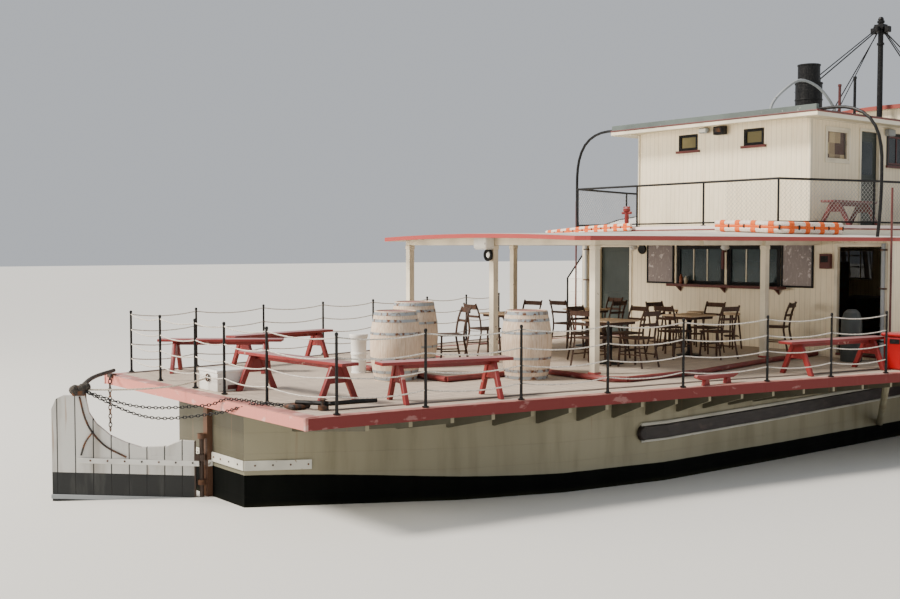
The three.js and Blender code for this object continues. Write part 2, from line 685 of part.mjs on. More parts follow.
const hubX = 19700;
const hubHalf = 60;
function steeringWheel() {
  const z = promenadeZ + 1150;
  const rim = cut(bar([hubX - 25, 0, z], [hubX + 25, 0, z], 620, 16),
    [bar([hubX - 40, 0, z], [hubX + 40, 0, z], 560, 16)]);
  const hub = bar([hubX - hubHalf, 0, z], [hubX + hubHalf, 0, z], 90, 12);
  const spokes = [0, 1, 2, 3].map((i) => {
    const angle = (Math.PI * i) / 4;
    const [dy, dz] = [770 * Math.cos(angle), 770 * Math.sin(angle)];
    return bar([hubX, -dy, z - dz], [hubX, dy, z + dz], 22, 4);
  });
  return join([rim, hub, ...spokes]);
}
function steeringStand() {
  const z = promenadeZ + seat;
  return join([
    block(19790, 19910, -90, 90, z, z + 1270),
    bar([hubX + hubHalf + seat, 0, z + 1150], [19850, 0, z + 1150], 40, 12),
  ]);
}

function ladder() {
  const [foot, head] = [deckZ + seat, promenadeZ - 20];
  const lean = (z) => 20490.3 + 0.196 * (awningEdge + 107 - z);
  const cheeks = [2000, 2650].map((y) => side(
    [[lean(foot) - 90, foot], [lean(foot) + 90, foot], [lean(head) + 90, head], [lean(head) - 90, head]],
    y - 20, y + 20));
  const treads = [1, 2, 3, 4, 5, 6, 7].map((i) => {
    const z = foot + (i * (head - foot)) / 8;
    return block(lean(z) - 85, lean(z) + 85, 1990, 2660, z - 20, z + 20);
  });
  return join([...cheeks, ...treads]);
}

// Assembly
node('hull', hull(), hullWhite);
node('main_deck', deck(), deckGrey);
node('strake_starboard', strake(-1), maroon);
node('strake_port', strake(1), maroon);
node('seating_platform', platform(), deckGrey);
node('lower_house', lowerHouse(), cream);
node('awning_roof', awning(), white);
node('awning_frame', awningFrame(), cream);
node('promenade_deck', promenade(), white);
node('upper_cabin', upperCabin(), cream);
node('upper_roof', upperRoof(), cream);
node('roof_board', roofBoard(), roofGreen);
node('wheelhouse', wheelhouse(), cream);
node('wheelhouse_roof', wheelhouseRoof(), cream);
node('funnel', funnel(), black);
node('mast', mast(), black);
node('boiler', block(12900, 15240, -850, 850, deckZ + seat, deckZ + 1750), iron);
node('engine', block(15900, 17900, -600, 600, deckZ + seat, deckZ + 900), iron);
node('paddle_box_starboard', paddleBox(-1), white);
node('paddle_box_port', paddleBox(1), white);
node('paddle_shaft', bar([wheelX, -5330, wheelZ], [wheelX, 5330, wheelZ], shaftRadius, 16), iron);
node('paddle_wheel_starboard', paddleWheel(-1), red);
node('paddle_wheel_port', paddleWheel(1), red);
node('stern_rail', sternRail(), black);
node('bow_rail', bowRail(), black);
node('promenade_rail', promenadeRail(), black);
node('pipe_hoop_starboard', hoop(-1), black);
node('pipe_hoop_port', hoop(1), black);
node('steering_wheel', steeringWheel(), oak);
node('steering_stand', steeringStand(), oak);
node('hatch_coaming', cut(
  block(22200, 25800, -1300, 1300, deckZ - 100, deckZ + 560),
  [block(22280, 25720, -1220, 1220, deckZ - 200, deckZ + 700), belowDeck()]), cream);
node('hatch_cover', block(22150, 25850, -1350, 1350, deckZ + 560 + seat, deckZ + 620), deckGrey);
node('windlass', windlass(), iron);
node('companion_ladder', ladder(), oak);

// Rudder blade outline: distance from the pivot, height over the main deck
const bladeLength = (rudderX + aftReach - (rudderThick / 2) * Math.sin(rudderTurn)) / Math.cos(rudderTurn);
const rudderOutline = [
  [80, -2300], [bladeLength, -2300], [bladeLength, -200], [bladeLength - 60, -60], [bladeLength - 160, -10],
  [1600, -10], [1550, -260], [1450, -420], [1260, -590], [1060, -690], [830, -770], [480, -760],
  [280, -680], [80, -700],
];
function rudder() {
  const blade = side(rudderOutline.map(([s, z]) => [-s, deckZ + z]).reverse(), -rudderThick / 2, rudderThick / 2);
  const stock = bar([0, 0, 210], [0, 0, deckZ - 600], stockRadius, 24);
  const straps = [300, 860, 1520].map((z) => block(-700, 34, -rudderThick / 2 - 12, rudderThick / 2 + 12, z, z + 90));
  return join([blade, stock, ...straps]);
}
const helm = new THREE.Group();
helm.position.set(rudderX, 0, 0);
helm.rotation.z = -rudderTurn;
afloat.add(helm);
node('rudder', rudder(), white, helm);

doors.forEach(([name, x, y, foot, height, width, turn]) => {
  const hinge = new THREE.Group();
  hinge.position.set(x, y, foot);
  hinge.rotation.z = THREE.MathUtils.degToRad(turn);
  afloat.add(hinge);
  node(name, block(-18, width, -leafThick / 2, leafThick / 2, 0, height), doorGreen, hinge);
});

benches.forEach(([name, x, y, floor, degrees, length, height]) => {
  const place = new THREE.Group();
  place.position.set(x, y, floor + seat);
  place.rotation.z = THREE.MathUtils.degToRad(degrees);
  afloat.add(place);
  node(name, bench(length, height), red, place);
});

// Barrel columns: name, x, y, floor
[
  ['barrel_aft', 3240, -480, deckZ],
  ['barrel_middle', 4250, 380, deckZ + platformRise],
  ['barrel_side', 4930, -1650, deckZ],
].forEach(([name, x, y, floor]) => node(name, barrel(x, y, floor + seat), oak));

// Table columns: name, x, y
[
  ['table_1', 7100, -1400], ['table_2', 7100, 1300], ['table_3', 9300, -1300], ['table_4', 9300, 1300],
].forEach(([name, x, y]) => node(name, table(x, y), oak));

node('deck_box', block(340, 780, -160, 410, deckZ + seat, deckZ + 300), white);
node('deck_vent', bar([3350, 700, deckZ + seat], [3350, 700, deckZ + 640], 150, 16, 110), white);
node('kevel', join([
  block(6170, 7160, -4030, -3950, deckZ + 90, deckZ + 160),
  block(6420, 6500, -4030, -3950, deckZ + seat, deckZ + 100),
  block(6830, 6910, -4030, -3950, deckZ + seat, deckZ + 100),
]), red);

export default model;
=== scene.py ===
"""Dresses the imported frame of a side-wheel paddle steamer.

Stations run forward from the aft edge of the deck, in metres, as in the part's source.
"""
import math

import bpy
from mathutils import Matrix, Vector


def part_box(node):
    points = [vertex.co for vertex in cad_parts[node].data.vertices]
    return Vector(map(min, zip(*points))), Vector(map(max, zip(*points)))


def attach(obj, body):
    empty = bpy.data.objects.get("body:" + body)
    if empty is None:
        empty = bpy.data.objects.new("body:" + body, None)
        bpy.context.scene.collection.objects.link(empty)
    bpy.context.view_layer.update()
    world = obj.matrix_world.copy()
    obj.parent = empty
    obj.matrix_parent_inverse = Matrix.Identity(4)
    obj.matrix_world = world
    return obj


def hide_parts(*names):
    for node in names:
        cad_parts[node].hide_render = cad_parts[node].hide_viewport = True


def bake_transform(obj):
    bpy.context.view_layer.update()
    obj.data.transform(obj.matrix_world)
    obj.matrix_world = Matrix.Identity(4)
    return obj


bl_info = {
    "name": "Paddle Steamer",
    "version": (1, 0, 0),
    "blender": (4, 5, 0),
    "location": "View3D > Sidebar > Steamer",
    "description": "Dresses a side-wheel paddle steamer, piece by piece",
    "category": "Object",
}

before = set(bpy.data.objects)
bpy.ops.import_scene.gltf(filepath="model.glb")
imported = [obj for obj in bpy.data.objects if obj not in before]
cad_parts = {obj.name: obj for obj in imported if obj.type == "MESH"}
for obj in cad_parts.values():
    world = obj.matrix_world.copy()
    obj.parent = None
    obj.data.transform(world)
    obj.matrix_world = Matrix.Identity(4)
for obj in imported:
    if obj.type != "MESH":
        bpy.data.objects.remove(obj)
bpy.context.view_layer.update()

MID = 16.3
DECK = 2.5
WATER = 1.0
PLATFORM_RISE = 0.082
PROMENADE = 4.97
SHEER_START = 21
SHEER_RUN = 13.2
SHEER_RISE = 0.9
HOUSE_AFT = 11.78
HOUSE_FRONT = 20.2
HOUSE_SIDE = 3.5
CABIN_SIDE = 2.15
BRIDGE_SIDE = 1.35
BRIDGE_AFT = 18.15
BRIDGE_FRONT = 20.15
SHAFT = 15.6
SHAFT_RISE = 0.35
WHEEL_MIDDLE = 4.44
BOX_FACE = 5.34
FUNNEL = 14.9
MAST = 17.79
ROOF_SIDE = 2.585
CLEARANCE = 0.002
RUDDER_DEGREES = 32
RUDDER_TURN = math.radians(RUDDER_DEGREES)
RUDDER_PIVOT = Vector((0.165 - MID, 0, 0))
BLADE = Vector((-math.cos(RUDDER_TURN), math.sin(RUDDER_TURN), 0))
BLADE_SIDE = Vector((-math.sin(RUDDER_TURN), -math.cos(RUDDER_TURN), 0))
CAMERA_PLACE = (-23.4634, -14.7747, 4.5628)
CAMERA_YAW = 0.677129
CAMERA_PITCH = 0.04592
CAMERA_LENS = 45.466
HANDS = ((-1, "-Y"), (1, "+Y"))
ACROSS = Matrix.Scale(-1, 4, (0, 1, 0))

# Rows of station and half width
DECK_EDGE = (
    (0, 3.1), (2, 3.36), (4, 3.69), (6, 4.05), (8, 4.44), (10, 4.87), (12, 5.35), (19.4, 5.35),
    (21.5, 4.9), (26, 4.15), (29.3, 3.3), (32, 2.15), (33.5, 1.0), (34.2, 0.25),
)
HULL_SIDE = (
    (0.3, 1.0), (1.5, 1.68), (2.9, 2.48), (4.4, 3.06), (6.2, 3.39), (9, 3.45), (22.5, 3.45),
    (26, 3.21), (29.3, 2.42), (32, 1.3), (33.5, 0.5), (34.1, 0.1),
)


def read(rows, station):
    for (near, low), (far, high) in zip(rows, rows[1:]):
        if station <= far:
            return low + (high - low) * (station - near) / (far - near)
    return rows[-1][1]


def deck_top(station):
    return DECK + SHEER_RISE * (max(station - SHEER_START, 0) / SHEER_RUN) ** 2


def at(station, y, z):
    return Vector((station - MID, y, z))


def over(station, y, rise):
    """A place by its height over the main deck."""
    return at(station, y, DECK + rise)


def up(rise):
    return Vector((0, 0, rise))


def hull_point(station, out, z):
    return at(station, -read(HULL_SIDE, station) - out, z)


def blade_point(along, rise, side=0.0):
    return RUDDER_PIVOT + BLADE * along + BLADE_SIDE * side + up(DECK + rise)


def wheel_point(radius, angle, y):
    """A place by its distance and angle from the paddle shaft."""
    return over(SHAFT, y, SHAFT_RISE) + radius * Vector((math.cos(angle), 0, math.sin(angle)))


def pose(place, degrees=0.0, axis="Z"):
    return Matrix.Translation(place) @ Matrix.Rotation(math.radians(degrees), 4, axis)


def toward(run, axis="Z", roll="Y"):
    """The turn that takes an axis along a run."""
    return Vector(run).to_track_quat(axis, roll).to_matrix().to_4x4()


def room(node):
    """The lowest and the highest corner of a node and the middle of its foot."""
    low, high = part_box(node)
    return low, high, Vector(((low.x + high.x) / 2, (low.y + high.y) / 2, low.z))


# Modelling by hand


def clear():
    if bpy.context.mode != "OBJECT":
        bpy.ops.object.mode_set(mode="OBJECT")
    bpy.ops.object.select_all(action="DESELECT")


def hold(*pieces):
    clear()
    for piece in pieces:
        piece.select_set(True)
    bpy.context.view_layer.objects.active = pieces[0]
    return pieces[0]


def settle(piece):
    hold(piece)
    bpy.ops.object.transform_apply(location=True, rotation=True, scale=True)
    return piece


def modify(piece, kind, **settings):
    hold(piece)
    modifier = piece.modifiers.new(kind.title(), kind)
    for key, value in settings.items():
        setattr(modifier, key, value)
    bpy.ops.object.modifier_apply(modifier=modifier.name)
    return piece


def ease(piece, width, segments=1):
    """Bevels the sharp edges of a piece, if a width is given."""
    if not width:
        return piece
    return modify(piece, "BEVEL", width=width, segments=segments, limit_method="ANGLE",
                  angle_limit=math.radians(40))


def edit(piece, **steps):
    """Runs mesh operators, each by its name and settings, on all of a piece in edit mode."""
    hold(piece)
    bpy.ops.object.mode_set(mode="EDIT")
    for name, settings in steps.items():
        bpy.ops.mesh.select_all(action="SELECT")
        getattr(bpy.ops.mesh, name)(**settings)
    bpy.ops.object.mode_set(mode="OBJECT")
    return piece


def shaped(places):
    """The active object with its vertices moved to the given places."""
    piece = bpy.context.object
    for vertex, place in zip(piece.data.vertices, places):
        vertex.co = place
    return piece


def block(low, high, edge=0.005, segments=1):
    clear()
    low, high = Vector(low), Vector(high)
    bpy.ops.mesh.primitive_cube_add(size=1, location=(low + high) / 2)
    piece = bpy.context.object
    piece.scale = high - low
    return ease(settle(piece), edge, segments)


def pad(place, reach, edge=0.005, top=0.0, foot=0.0, segments=1):
    """A block that reaches to both sides of a place, from its foot to its top."""
    side = Vector((*reach, 0))
    return block(place - side + up(foot), place + side + up(top), edge, segments)


def rod(start, end, radius, sides=10):
    clear()
    start, end = Vector(start), Vector(end)
    run = end - start
    bpy.ops.mesh.primitive_cone_add(vertices=sides, radius1=radius, radius2=radius, depth=run.length,
                                    location=(start + end) / 2)
    piece = bpy.context.object
    piece.rotation_mode = "QUATERNION"
    piece.rotation_quaternion = run.to_track_quat("Z", "Y")
    return settle(piece)


def ring(radius, wire, sides, place=(0, 0, 0), rotation=(0, 0, 0)):
    clear()
    bpy.ops.mesh.primitive_torus_add(major_segments=sides[0], minor_segments=sides[1], major_radius=radius,
                                     minor_radius=wire, location=place, rotation=rotation)
    return settle(bpy.context.object)


def tube(points, radius, rings=1):
    clear()
    bpy.ops.curve.primitive_nurbs_path_add()
    curve = bpy.context.object.data
    curve.splines.clear()
    spline = curve.splines.new("POLY")
    spline.points.add(len(points) - 1)
    for point, place in zip(spline.points, points):
        point.co = (*place, 1)
    curve.bevel_depth = radius
    curve.bevel_resolution = rings
    curve.use_fill_caps = True
    bpy.ops.object.convert(target="MESH")
    return bpy.context.object


def smooth(points, steps=6):
    """Points of a smooth curve through the given ones."""
    path = [Vector(point) for point in points]
    path = [2 * path[0] - path[1], *path, 2 * path[-1] - path[-2]]
    made = []
    for a, b, c, d in zip(path, path[1:], path[2:], path[3:]):
        for step in range(steps):
            t = step / steps
            made.append(0.5 * (2 * b + (c - a) * t + (2 * a - 5 * b + 4 * c - d) * t ** 2
                               + (3 * b - a - 3 * c + d) * t ** 3))
    return [*made, path[-2]]


def sagging(start, end, drop, steps=6):
    shares = [step / steps for step in range(steps + 1)]
    return [start.lerp(end, share) - up(4 * drop * share * (1 - share)) for share in shares]


def turned(profile, place=(0, 0, 0), along="Z", steps=20):
    """A shape turned on a lathe from rows of radius and height."""
    clear()
    bpy.ops.mesh.primitive_circle_add(vertices=len(profile), radius=1)
    piece = shaped([(radius, 0, height) for radius, height in profile])
    edit(piece, spin={"steps": steps, "angle": math.tau, "center": (0, 0, 0), "axis": (0, 0, 1)},
         remove_doubles={"threshold": 1e-5}, normals_make_consistent={"inside": False})
    piece.rotation_euler = {"X": (0, math.pi / 2, 0), "Y": (-math.pi / 2, 0, 0), "Z": (0, 0, 0)}[along]
    piece.location = place
    return settle(piece)


def slab(outline, depth, edge=0.0):
    """A flat outline drawn out along a direction."""
    clear()
    bpy.ops.mesh.primitive_circle_add(vertices=len(outline), radius=1, fill_type="NGON")
    piece = edit(shaped(outline), extrude_region_move={"TRANSFORM_OT_translate": {"value": tuple(depth)}},
                 normals_make_consistent={"inside": False})
    return ease(piece, edge)


def strip(rows, thick, edge=0.0):
    """A board that follows rows of points, thickened to one side."""
    clear()
    bpy.ops.mesh.primitive_grid_add(x_subdivisions=len(rows[0]) - 1, y_subdivisions=len(rows) - 1)
    piece = shaped([place for row in rows for place in row])
    modify(piece, "SOLIDIFY", thickness=thick, offset=1)
    return ease(edit(piece, normals_make_consistent={"inside": False}), edge)


def placed(piece, place):
    piece.data.transform(place)
    return piece


def twin(piece, place):
    """A copy of a piece, with a mesh of its own, at another place."""
    other = piece.copy()
    other.data = piece.data.copy()
    bpy.context.collection.objects.link(other)
    return placed(other, place)


def copies(piece, places):
    made = [twin(piece, place) for place in places]
    bpy.data.objects.remove(piece)
    return made


def mirrored(parts):
    """The same parts on the other side of the vessel too."""
    return [*parts, *(edit(twin(part, ACROSS), flip_normals={}) for part in parts)]


def coated(finish, *parts):
    """Parts with one finish, given by its name or as a material."""
    for part in parts:
        part.data.materials.clear()
        part.data.materials.append(named(finish) if isinstance(finish, str) else finish)
    return list(parts)


def joined(name, parts, degrees=35):
    piece = hold(*parts)
    if len(parts) > 1:
        bpy.ops.object.join()
    piece.name = name
    piece.data.name = name
    bpy.ops.object.shade_smooth_by_angle(angle=math.radians(degrees))
    return piece


def ready(name, parts, body="vessel", stands_for=()):
    """Joins finished parts into one piece of the vessel."""
    piece = joined(name, parts)
    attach(piece, body)
    if stands_for:
        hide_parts(*stands_for)


# Finishes


def dim(colour, share):
    return tuple(share * part for part in colour)


class Wire:
    """One shader socket, so that sums on it read as Python sums."""

    def __init__(self, finish, socket):
        self.finish = finish
        self.socket = socket

    def sum(self, operation, *terms):
        return self.finish.add("ShaderNodeMath", {"operation": operation}, dict(enumerate(terms)))

    def __add__(self, other):
        return self.sum("ADD", self, other)

    __radd__ = __add__

    def __sub__(self, other):
        return self.sum("SUBTRACT", self, other)

    def __rsub__(self, other):
        return self.sum("SUBTRACT", other, self)

    def __mul__(self, other):
        return self.sum("MULTIPLY", self, other)

    __rmul__ = __mul__

    def __truediv__(self, other):
        return self.sum("DIVIDE", self, other)

    def __lt__(self, other):
        return self.sum("LESS_THAN", self, other)

    def __gt__(self, other):
        return self.sum("GREATER_THAN", self, other)

    def floor(self):
        return self.sum("FLOOR", self)

    def part(self):
        return self.sum("FRACT", self)

    def size(self):
        return self.sum("ABSOLUTE", self)

    def most(self, other):
        return self.sum("MAXIMUM", self, other)


class Finish:
    """A material and the nodes that make it."""

    def __init__(self, name, roughness=0.5, metallic=0.0):
        self.material = bpy.data.materials.new(name)
        self.material.use_nodes = True
        self.tree = self.material.node_tree
        self.shader = self.tree.nodes["Principled BSDF"]
        self.shader.inputs["Roughness"].default_value = roughness
        self.shader.inputs["Metallic"].default_value = metallic
        self.place = self.add("ShaderNodeTexCoord", output="Object")
        self.x = self.add("ShaderNodeSeparateXYZ", {}, {0: self.place}, "X")
        self.y = self.other(self.x, "Y")
        self.z = self.other(self.x, "Z")
        facing = self.add("ShaderNodeNewGeometry", output="True Normal")
        self.side_x = self.add("ShaderNodeSeparateXYZ", {}, {0: facing}, "X")
        self.up = self.other(self.side_x, "Z")

    def add(self, kind, settings=None, values=None, output=0):
        node = self.tree.nodes.new(kind)
        for key, value in (settings or {}).items():
            setattr(node, key, value)
        for key, value in (values or {}).items():
            self.feed(node.inputs[key], value)
        return Wire(self, node.outputs[output])

    def other(self, wire, output):
        return Wire(self, wire.socket.node.outputs[output])

    def feed(self, socket, value):
        if isinstance(value, Wire):
            self.tree.links.new(value.socket, socket)
        elif hasattr(socket.default_value, "__len__") and len(socket.default_value) == 4:
            socket.default_value = (*value[:3], 1)
        else:
            socket.default_value = value

    def set(self, **values):
        for key, value in values.items():
            self.feed(self.shader.inputs[key.replace("_", " ")], value)
        return self.material

    def blend(self, share, first, second):
        return self.add("ShaderNodeMix", {"data_type": "RGBA"}, {0: share, 6: first, 7: second}, 2)

    def noise(self, scale, stretch=(1, 1, 1), detail=4):
        place = self.add("ShaderNodeMapping", {}, {0: self.place, 3: stretch})
        return self.add("ShaderNodeTexNoise", {}, {"Vector": place, "Scale": scale, "Detail": detail})

    def chance(self, number):
        return self.add("ShaderNodeTexWhiteNoise", {"noise_dimensions": "1D"}, {"W": number})

    def ramp(self, value, low, high):
        return self.add("ShaderNodeMapRange", {"interpolation_type": "SMOOTHSTEP"},
                        {0: value, 1: low, 2: high, 3: 0.0, 4: 1.0})

    def groove(self, along, pitch, gap):
        """How near a point is to the joint between boards of a pitch, from 0 to 1."""
        share = (along / pitch).part()
        return self.ramp((share - 0.5).size() * 2, 1 - 2 * gap / pitch, 1 - 0.6 * gap / pitch)

    def bump(self, height, strength=0.4, distance=0.01):
        normal = self.add("ShaderNodeBump", {},
                          {"Strength": strength, "Distance": distance, "Height": height})
        return self.set(Normal=normal)


def paint(name, colour, under=None, wear=0.0, roughness=0.45, fade=0.14):
    """Brush paint with dirt, a lighter top and chips down to what is under it: the top is partly sun-faded
    paint, partly a painted highlight.
    """
    finish = Finish(name)
    cloud = finish.noise(1.7)
    fine = finish.noise(24, (1, 1, 0.35))
    faded_and_lit_top = tuple(min(1, 0.75 * part + fade) for part in colour)
    dirty = dim(colour, 0.72)
    tone = finish.blend(finish.ramp(cloud, 0.35, 0.75), colour, dirty)
    # Up-facing faces lighten: partly sun-faded paint, partly a painted highlight where the top catches the
    # light.
    tone = finish.blend(finish.ramp(finish.up, 0.5, 0.9) * (0.25 + 0.5 * fine), tone, faded_and_lit_top)
    if wear:
        chips = finish.ramp(finish.noise(9, (1, 1, 1), 8), 0.72 - 0.16 * wear, 0.76 - 0.16 * wear)
        tone = finish.blend(chips, tone, under or (0.35, 0.28, 0.22))
    finish.set(Base_Color=tone, Roughness=roughness - 0.1 + 0.3 * fine)
    return finish.bump(fine, 0.15, 0.004)


def hull_paint(name):
    finish = Finish(name)
    streak = finish.noise(1.6, (2.2, 2.2, 0.3), 6)
    cloud = finish.noise(0.5)
    tone = finish.blend(finish.ramp(streak, 0.42, 0.78), (0.29, 0.262, 0.172), (0.19, 0.168, 0.102))
    tone = finish.blend(finish.ramp(cloud, 0.4, 0.7) * 0.5, tone, (0.235, 0.212, 0.137))
    # Painted shade and painted reflection: the aft face is taken nearly black, for the shade under the deck
    # and the dark water it mirrors.
    tone = finish.blend((finish.side_x < -0.7) * 0.85, tone, (0.045, 0.041, 0.026))
    seams = finish.groove(finish.z, 0.29, 0.004)
    tone = finish.blend(seams * 0.2, tone, (0.16, 0.13, 0.09))
    drips = finish.ramp(finish.noise(3.4, (3, 3, 0.12), 3), 0.66, 0.72) * finish.ramp(finish.z, 1.2, 2.4)
    tone = finish.blend(drips * 0.45, tone, (0.22, 0.12, 0.06))
    line = 1.28 + 0.16 * finish.ramp(finish.x, 4.4 - MID, 0.3 - MID) + 0.012 * streak
    scum = finish.ramp(finish.z - line, 0.09, 0.0)
    tone = finish.blend(scum * 0.5, tone, (0.26, 0.25, 0.18))
    below = finish.z < line
    tone = finish.blend(below, tone, (0.004, 0.005, 0.004))
    wet = finish.ramp(finish.z, 1.08, 1.0) * finish.ramp(cloud, 0.3, 0.6)
    tone = finish.blend(wet * 0.5, tone, (0.05, 0.05, 0.025))
    post = (finish.x < 0.335 - MID) * (finish.y.size() < 0.07)
    tone = finish.blend(post, tone, (0.10, 0.045, 0.022))
    # A metal as dark as the boot top reflects next to nothing
    dull = 0.85 * below * (1 - post)
    finish.set(Base_Color=tone, Roughness=0.42 + 0.3 * streak + 0.25 * below, Metallic=dull)
    return finish.bump(streak * 0.4 - seams, 0.4, 0.006)


def maroon_paint(name, colour, wear):
    finish = Finish(name)
    fine = finish.noise(11, (0.5, 0.5, 2), 6)
    scuff = finish.ramp(finish.noise(2.6, (1, 1, 2.5), 8), 0.56, 0.66)
    tone = finish.blend(finish.ramp(fine, 0.3, 0.7), colour, dim(colour, 0.6))
    tone = finish.blend(scuff * wear, tone, (0.56, 0.34, 0.30))
    finish.set(Base_Color=tone, Roughness=0.35 + 0.25 * fine)
    return finish.bump(fine, 0.2, 0.004)


def planking(finish, along, across, pitch, light, dark):
    """Weathered planks that run along one direction."""
    number = (across / pitch).floor()
    luck = finish.chance(number)
    grain = finish.noise(6, (0.7, 9, 9) if along is finish.x else (9, 0.7, 9), 5)
    patch = finish.noise(0.7)
    tone = finish.blend(finish.ramp(grain, 0.3, 0.72), light, dark)
    tone = finish.blend(luck * 0.35, tone, dim(light, 0.62))
    tone = finish.blend(finish.ramp(patch, 0.45, 0.7) * 0.45, tone, dim(light, 0.7))
    caulk = finish.groove(across, pitch, 0.009)
    butts = finish.groove(along + luck * 17, 3.9, 0.006)
    joint = caulk.most(butts)
    return finish.blend(joint * 0.8, tone, (0.06, 0.045, 0.035)), grain * 0.5 - joint


def deck_planks(name, edge):
    finish = Finish(name)
    tone, relief = planking(finish, finish.x, finish.y, 0.135, (0.60, 0.50, 0.40), (0.42, 0.34, 0.27))
    chips = finish.ramp(finish.noise(3.5, (1, 1, 2), 8), 0.62, 0.68)
    # Painted light: aft-facing edges take a light salmon red for sunlight on them, the other edges the dark
    # edge red for shade, and chips show more on the aft face.
    aft = finish.side_x < -0.7
    side = finish.blend(aft, edge, (0.56, 0.20, 0.16))
    side = finish.blend(chips * (0.25 + 0.35 * aft), side, (0.60, 0.40, 0.36))
    tone = finish.blend(finish.up > 0.5, side, tone)
    tone = finish.blend(finish.up < -0.5, tone, (0.40, 0.39, 0.34))
    finish.set(Base_Color=tone, Roughness=0.75)
    return finish.bump(relief, 0.5, 0.006)


def boards(name, light, dark, pitch):
    """Upright tongue-and-groove boards under paint."""
    finish = Finish(name)
    facing = finish.side_x.size() > 0.7
    along = finish.y * facing + finish.x * (1 - facing)
    joint = finish.groove(along, pitch, 0.006)
    luck = finish.chance((along / pitch).floor() + 40 * facing)
    brush = finish.noise(5, (4, 4, 0.5), 5)
    tone = finish.blend(finish.ramp(brush, 0.4, 0.8) * 0.6 + 0.25 * luck, light, dark)
    tone = finish.blend(joint * 0.5, tone, dim(dark, 0.45))
    grime = finish.ramp(finish.noise(1.3, (1, 1, 0.4), 6), 0.55, 0.8)
    tone = finish.blend(grime * 0.35, tone, (0.42, 0.36, 0.26))
    finish.set(Base_Color=tone, Roughness=0.5 + 0.2 * brush)
    return finish.bump(brush * 0.2 - joint, 0.5, 0.006)


def roof_cloth(name, top, edge, line_height):
    """Painted canvas roof: its sides take the edge colour over line_height."""
    finish = Finish(name)
    cloud = finish.noise(0.9, (1, 1, 1), 6)
    tone = finish.blend(finish.ramp(cloud, 0.35, 0.7), top, dim(top, 0.72))
    laps = finish.groove(finish.x, 0.92, 0.008)
    tone = finish.blend(laps * 0.35, tone, (0.25, 0.22, 0.18))
    under = finish.blend(finish.groove(finish.x, 0.12, 0.005) * 0.5, (0.62, 0.55, 0.40), (0.25, 0.21, 0.14))
    side = finish.blend(finish.z > line_height, (0.74, 0.70, 0.58), edge)
    tone = finish.blend(finish.up > 0.5, side, tone)
    tone = finish.blend(finish.up < -0.5, tone, under)
    finish.set(Base_Color=tone, Roughness=0.6)
    return finish.bump(cloud * 0.3 - laps, 0.3, 0.006)


def rudder_paint(name):
    finish = Finish(name)
    along = (RUDDER_PIVOT.x - finish.x) * math.cos(RUDDER_TURN) + finish.y * math.sin(RUDDER_TURN)
    joint = finish.groove(along - 0.02, 0.245, 0.011)
    grime = finish.noise(2.2, (2, 2, 0.4), 7)
    tone = finish.blend(finish.ramp(grime, 0.45, 0.75), (0.66, 0.65, 0.61), (0.44, 0.41, 0.36))
    rust = finish.ramp(finish.noise(2.5, (5, 5, 0.25), 3), 0.68, 0.74)
    tone = finish.blend(rust * 0.6, tone, (0.35, 0.15, 0.05))
    dark = finish.blend(finish.ramp(grime, 0.5, 0.8) * 0.5, (0.014, 0.015, 0.015), (0.12, 0.12, 0.11))
    tone = finish.blend(finish.z < 1.31 + 0.05 * along, tone, dark)
    tone = finish.blend(joint, tone, (0.01, 0.01, 0.01))
    tone = finish.blend(along < 0.10, tone, (0.050, 0.028, 0.018))
    finish.set(Base_Color=tone, Roughness=0.5 + 0.2 * grime)
    return finish.bump(grime * 0.3 - joint, 0.6, 0.012)


def black_paint(name):
    finish = Finish(name)
    fine = finish.noise(30)
    tone = finish.blend(finish.ramp(fine, 0.4, 0.8), (0.005, 0.005, 0.0055), (0.022, 0.021, 0.020))
    finish.set(Base_Color=tone, Roughness=0.3 + 0.3 * fine, Specular_IOR_Level=0.25)
    return finish.bump(fine, 0.12, 0.003)


def iron(name, colour, rust):
    finish = Finish(name, metallic=0.5)
    spots = finish.noise(14, (1, 1, 0.6), 8)
    tone = finish.blend(finish.ramp(spots, 0.52 - 0.2 * rust, 0.66), colour, (0.16, 0.07, 0.035))
    finish.set(Base_Color=tone, Roughness=0.45 + 0.35 * spots)
    return finish.bump(spots, 0.3, 0.003)


def oak(name, light, dark, count):
    """Grey oak. A count parts it into staves by the turn that each face keeps in its stave attribute."""
    finish = Finish(name)
    grain = finish.noise(7, (9, 9, 0.7), 6)
    patch = finish.noise(2.2)
    tone = finish.blend(finish.ramp(grain, 0.3, 0.75), light, dark)
    tone = finish.blend(finish.ramp(patch, 0.5, 0.75) * 0.4, tone, dim(dark, 0.6))
    relief = grain
    if count:
        round_it = finish.add("ShaderNodeAttribute", {"attribute_name": "stave"}, {}, "Fac")
        joint = finish.groove(round_it * count, 1.0, 0.045)
        luck = finish.chance((round_it * count).floor())
        tone = finish.blend(luck * 0.4, tone, dark)
        tone = finish.blend(joint * 0.55, tone, (0.10, 0.07, 0.045))
        relief = grain * 0.3 - joint
    finish.set(Base_Color=tone, Roughness=0.6 + 0.2 * grain)
    return finish.bump(relief, 0.35, 0.004)


def glass(name, tint, clear_share):
    finish = Finish(name, roughness=0.06)
    haze = finish.noise(1.5)
    tone = finish.blend(finish.ramp(haze, 0.4, 0.7), tint, tuple(1.6 * part + 0.01 for part in tint))
    return finish.set(Base_Color=tone, Roughness=0.04 + 0.1 * haze, Alpha=1 - clear_share + 0.1 * haze)


def rope(name, light, dark):
    finish = Finish(name)
    lay = finish.noise(60, (1, 1, 1), 2)
    tone = finish.blend(finish.ramp(lay, 0.35, 0.65), light, dark)
    finish.set(Base_Color=tone, Roughness=0.85)
    return finish.bump(lay, 0.6, 0.004)


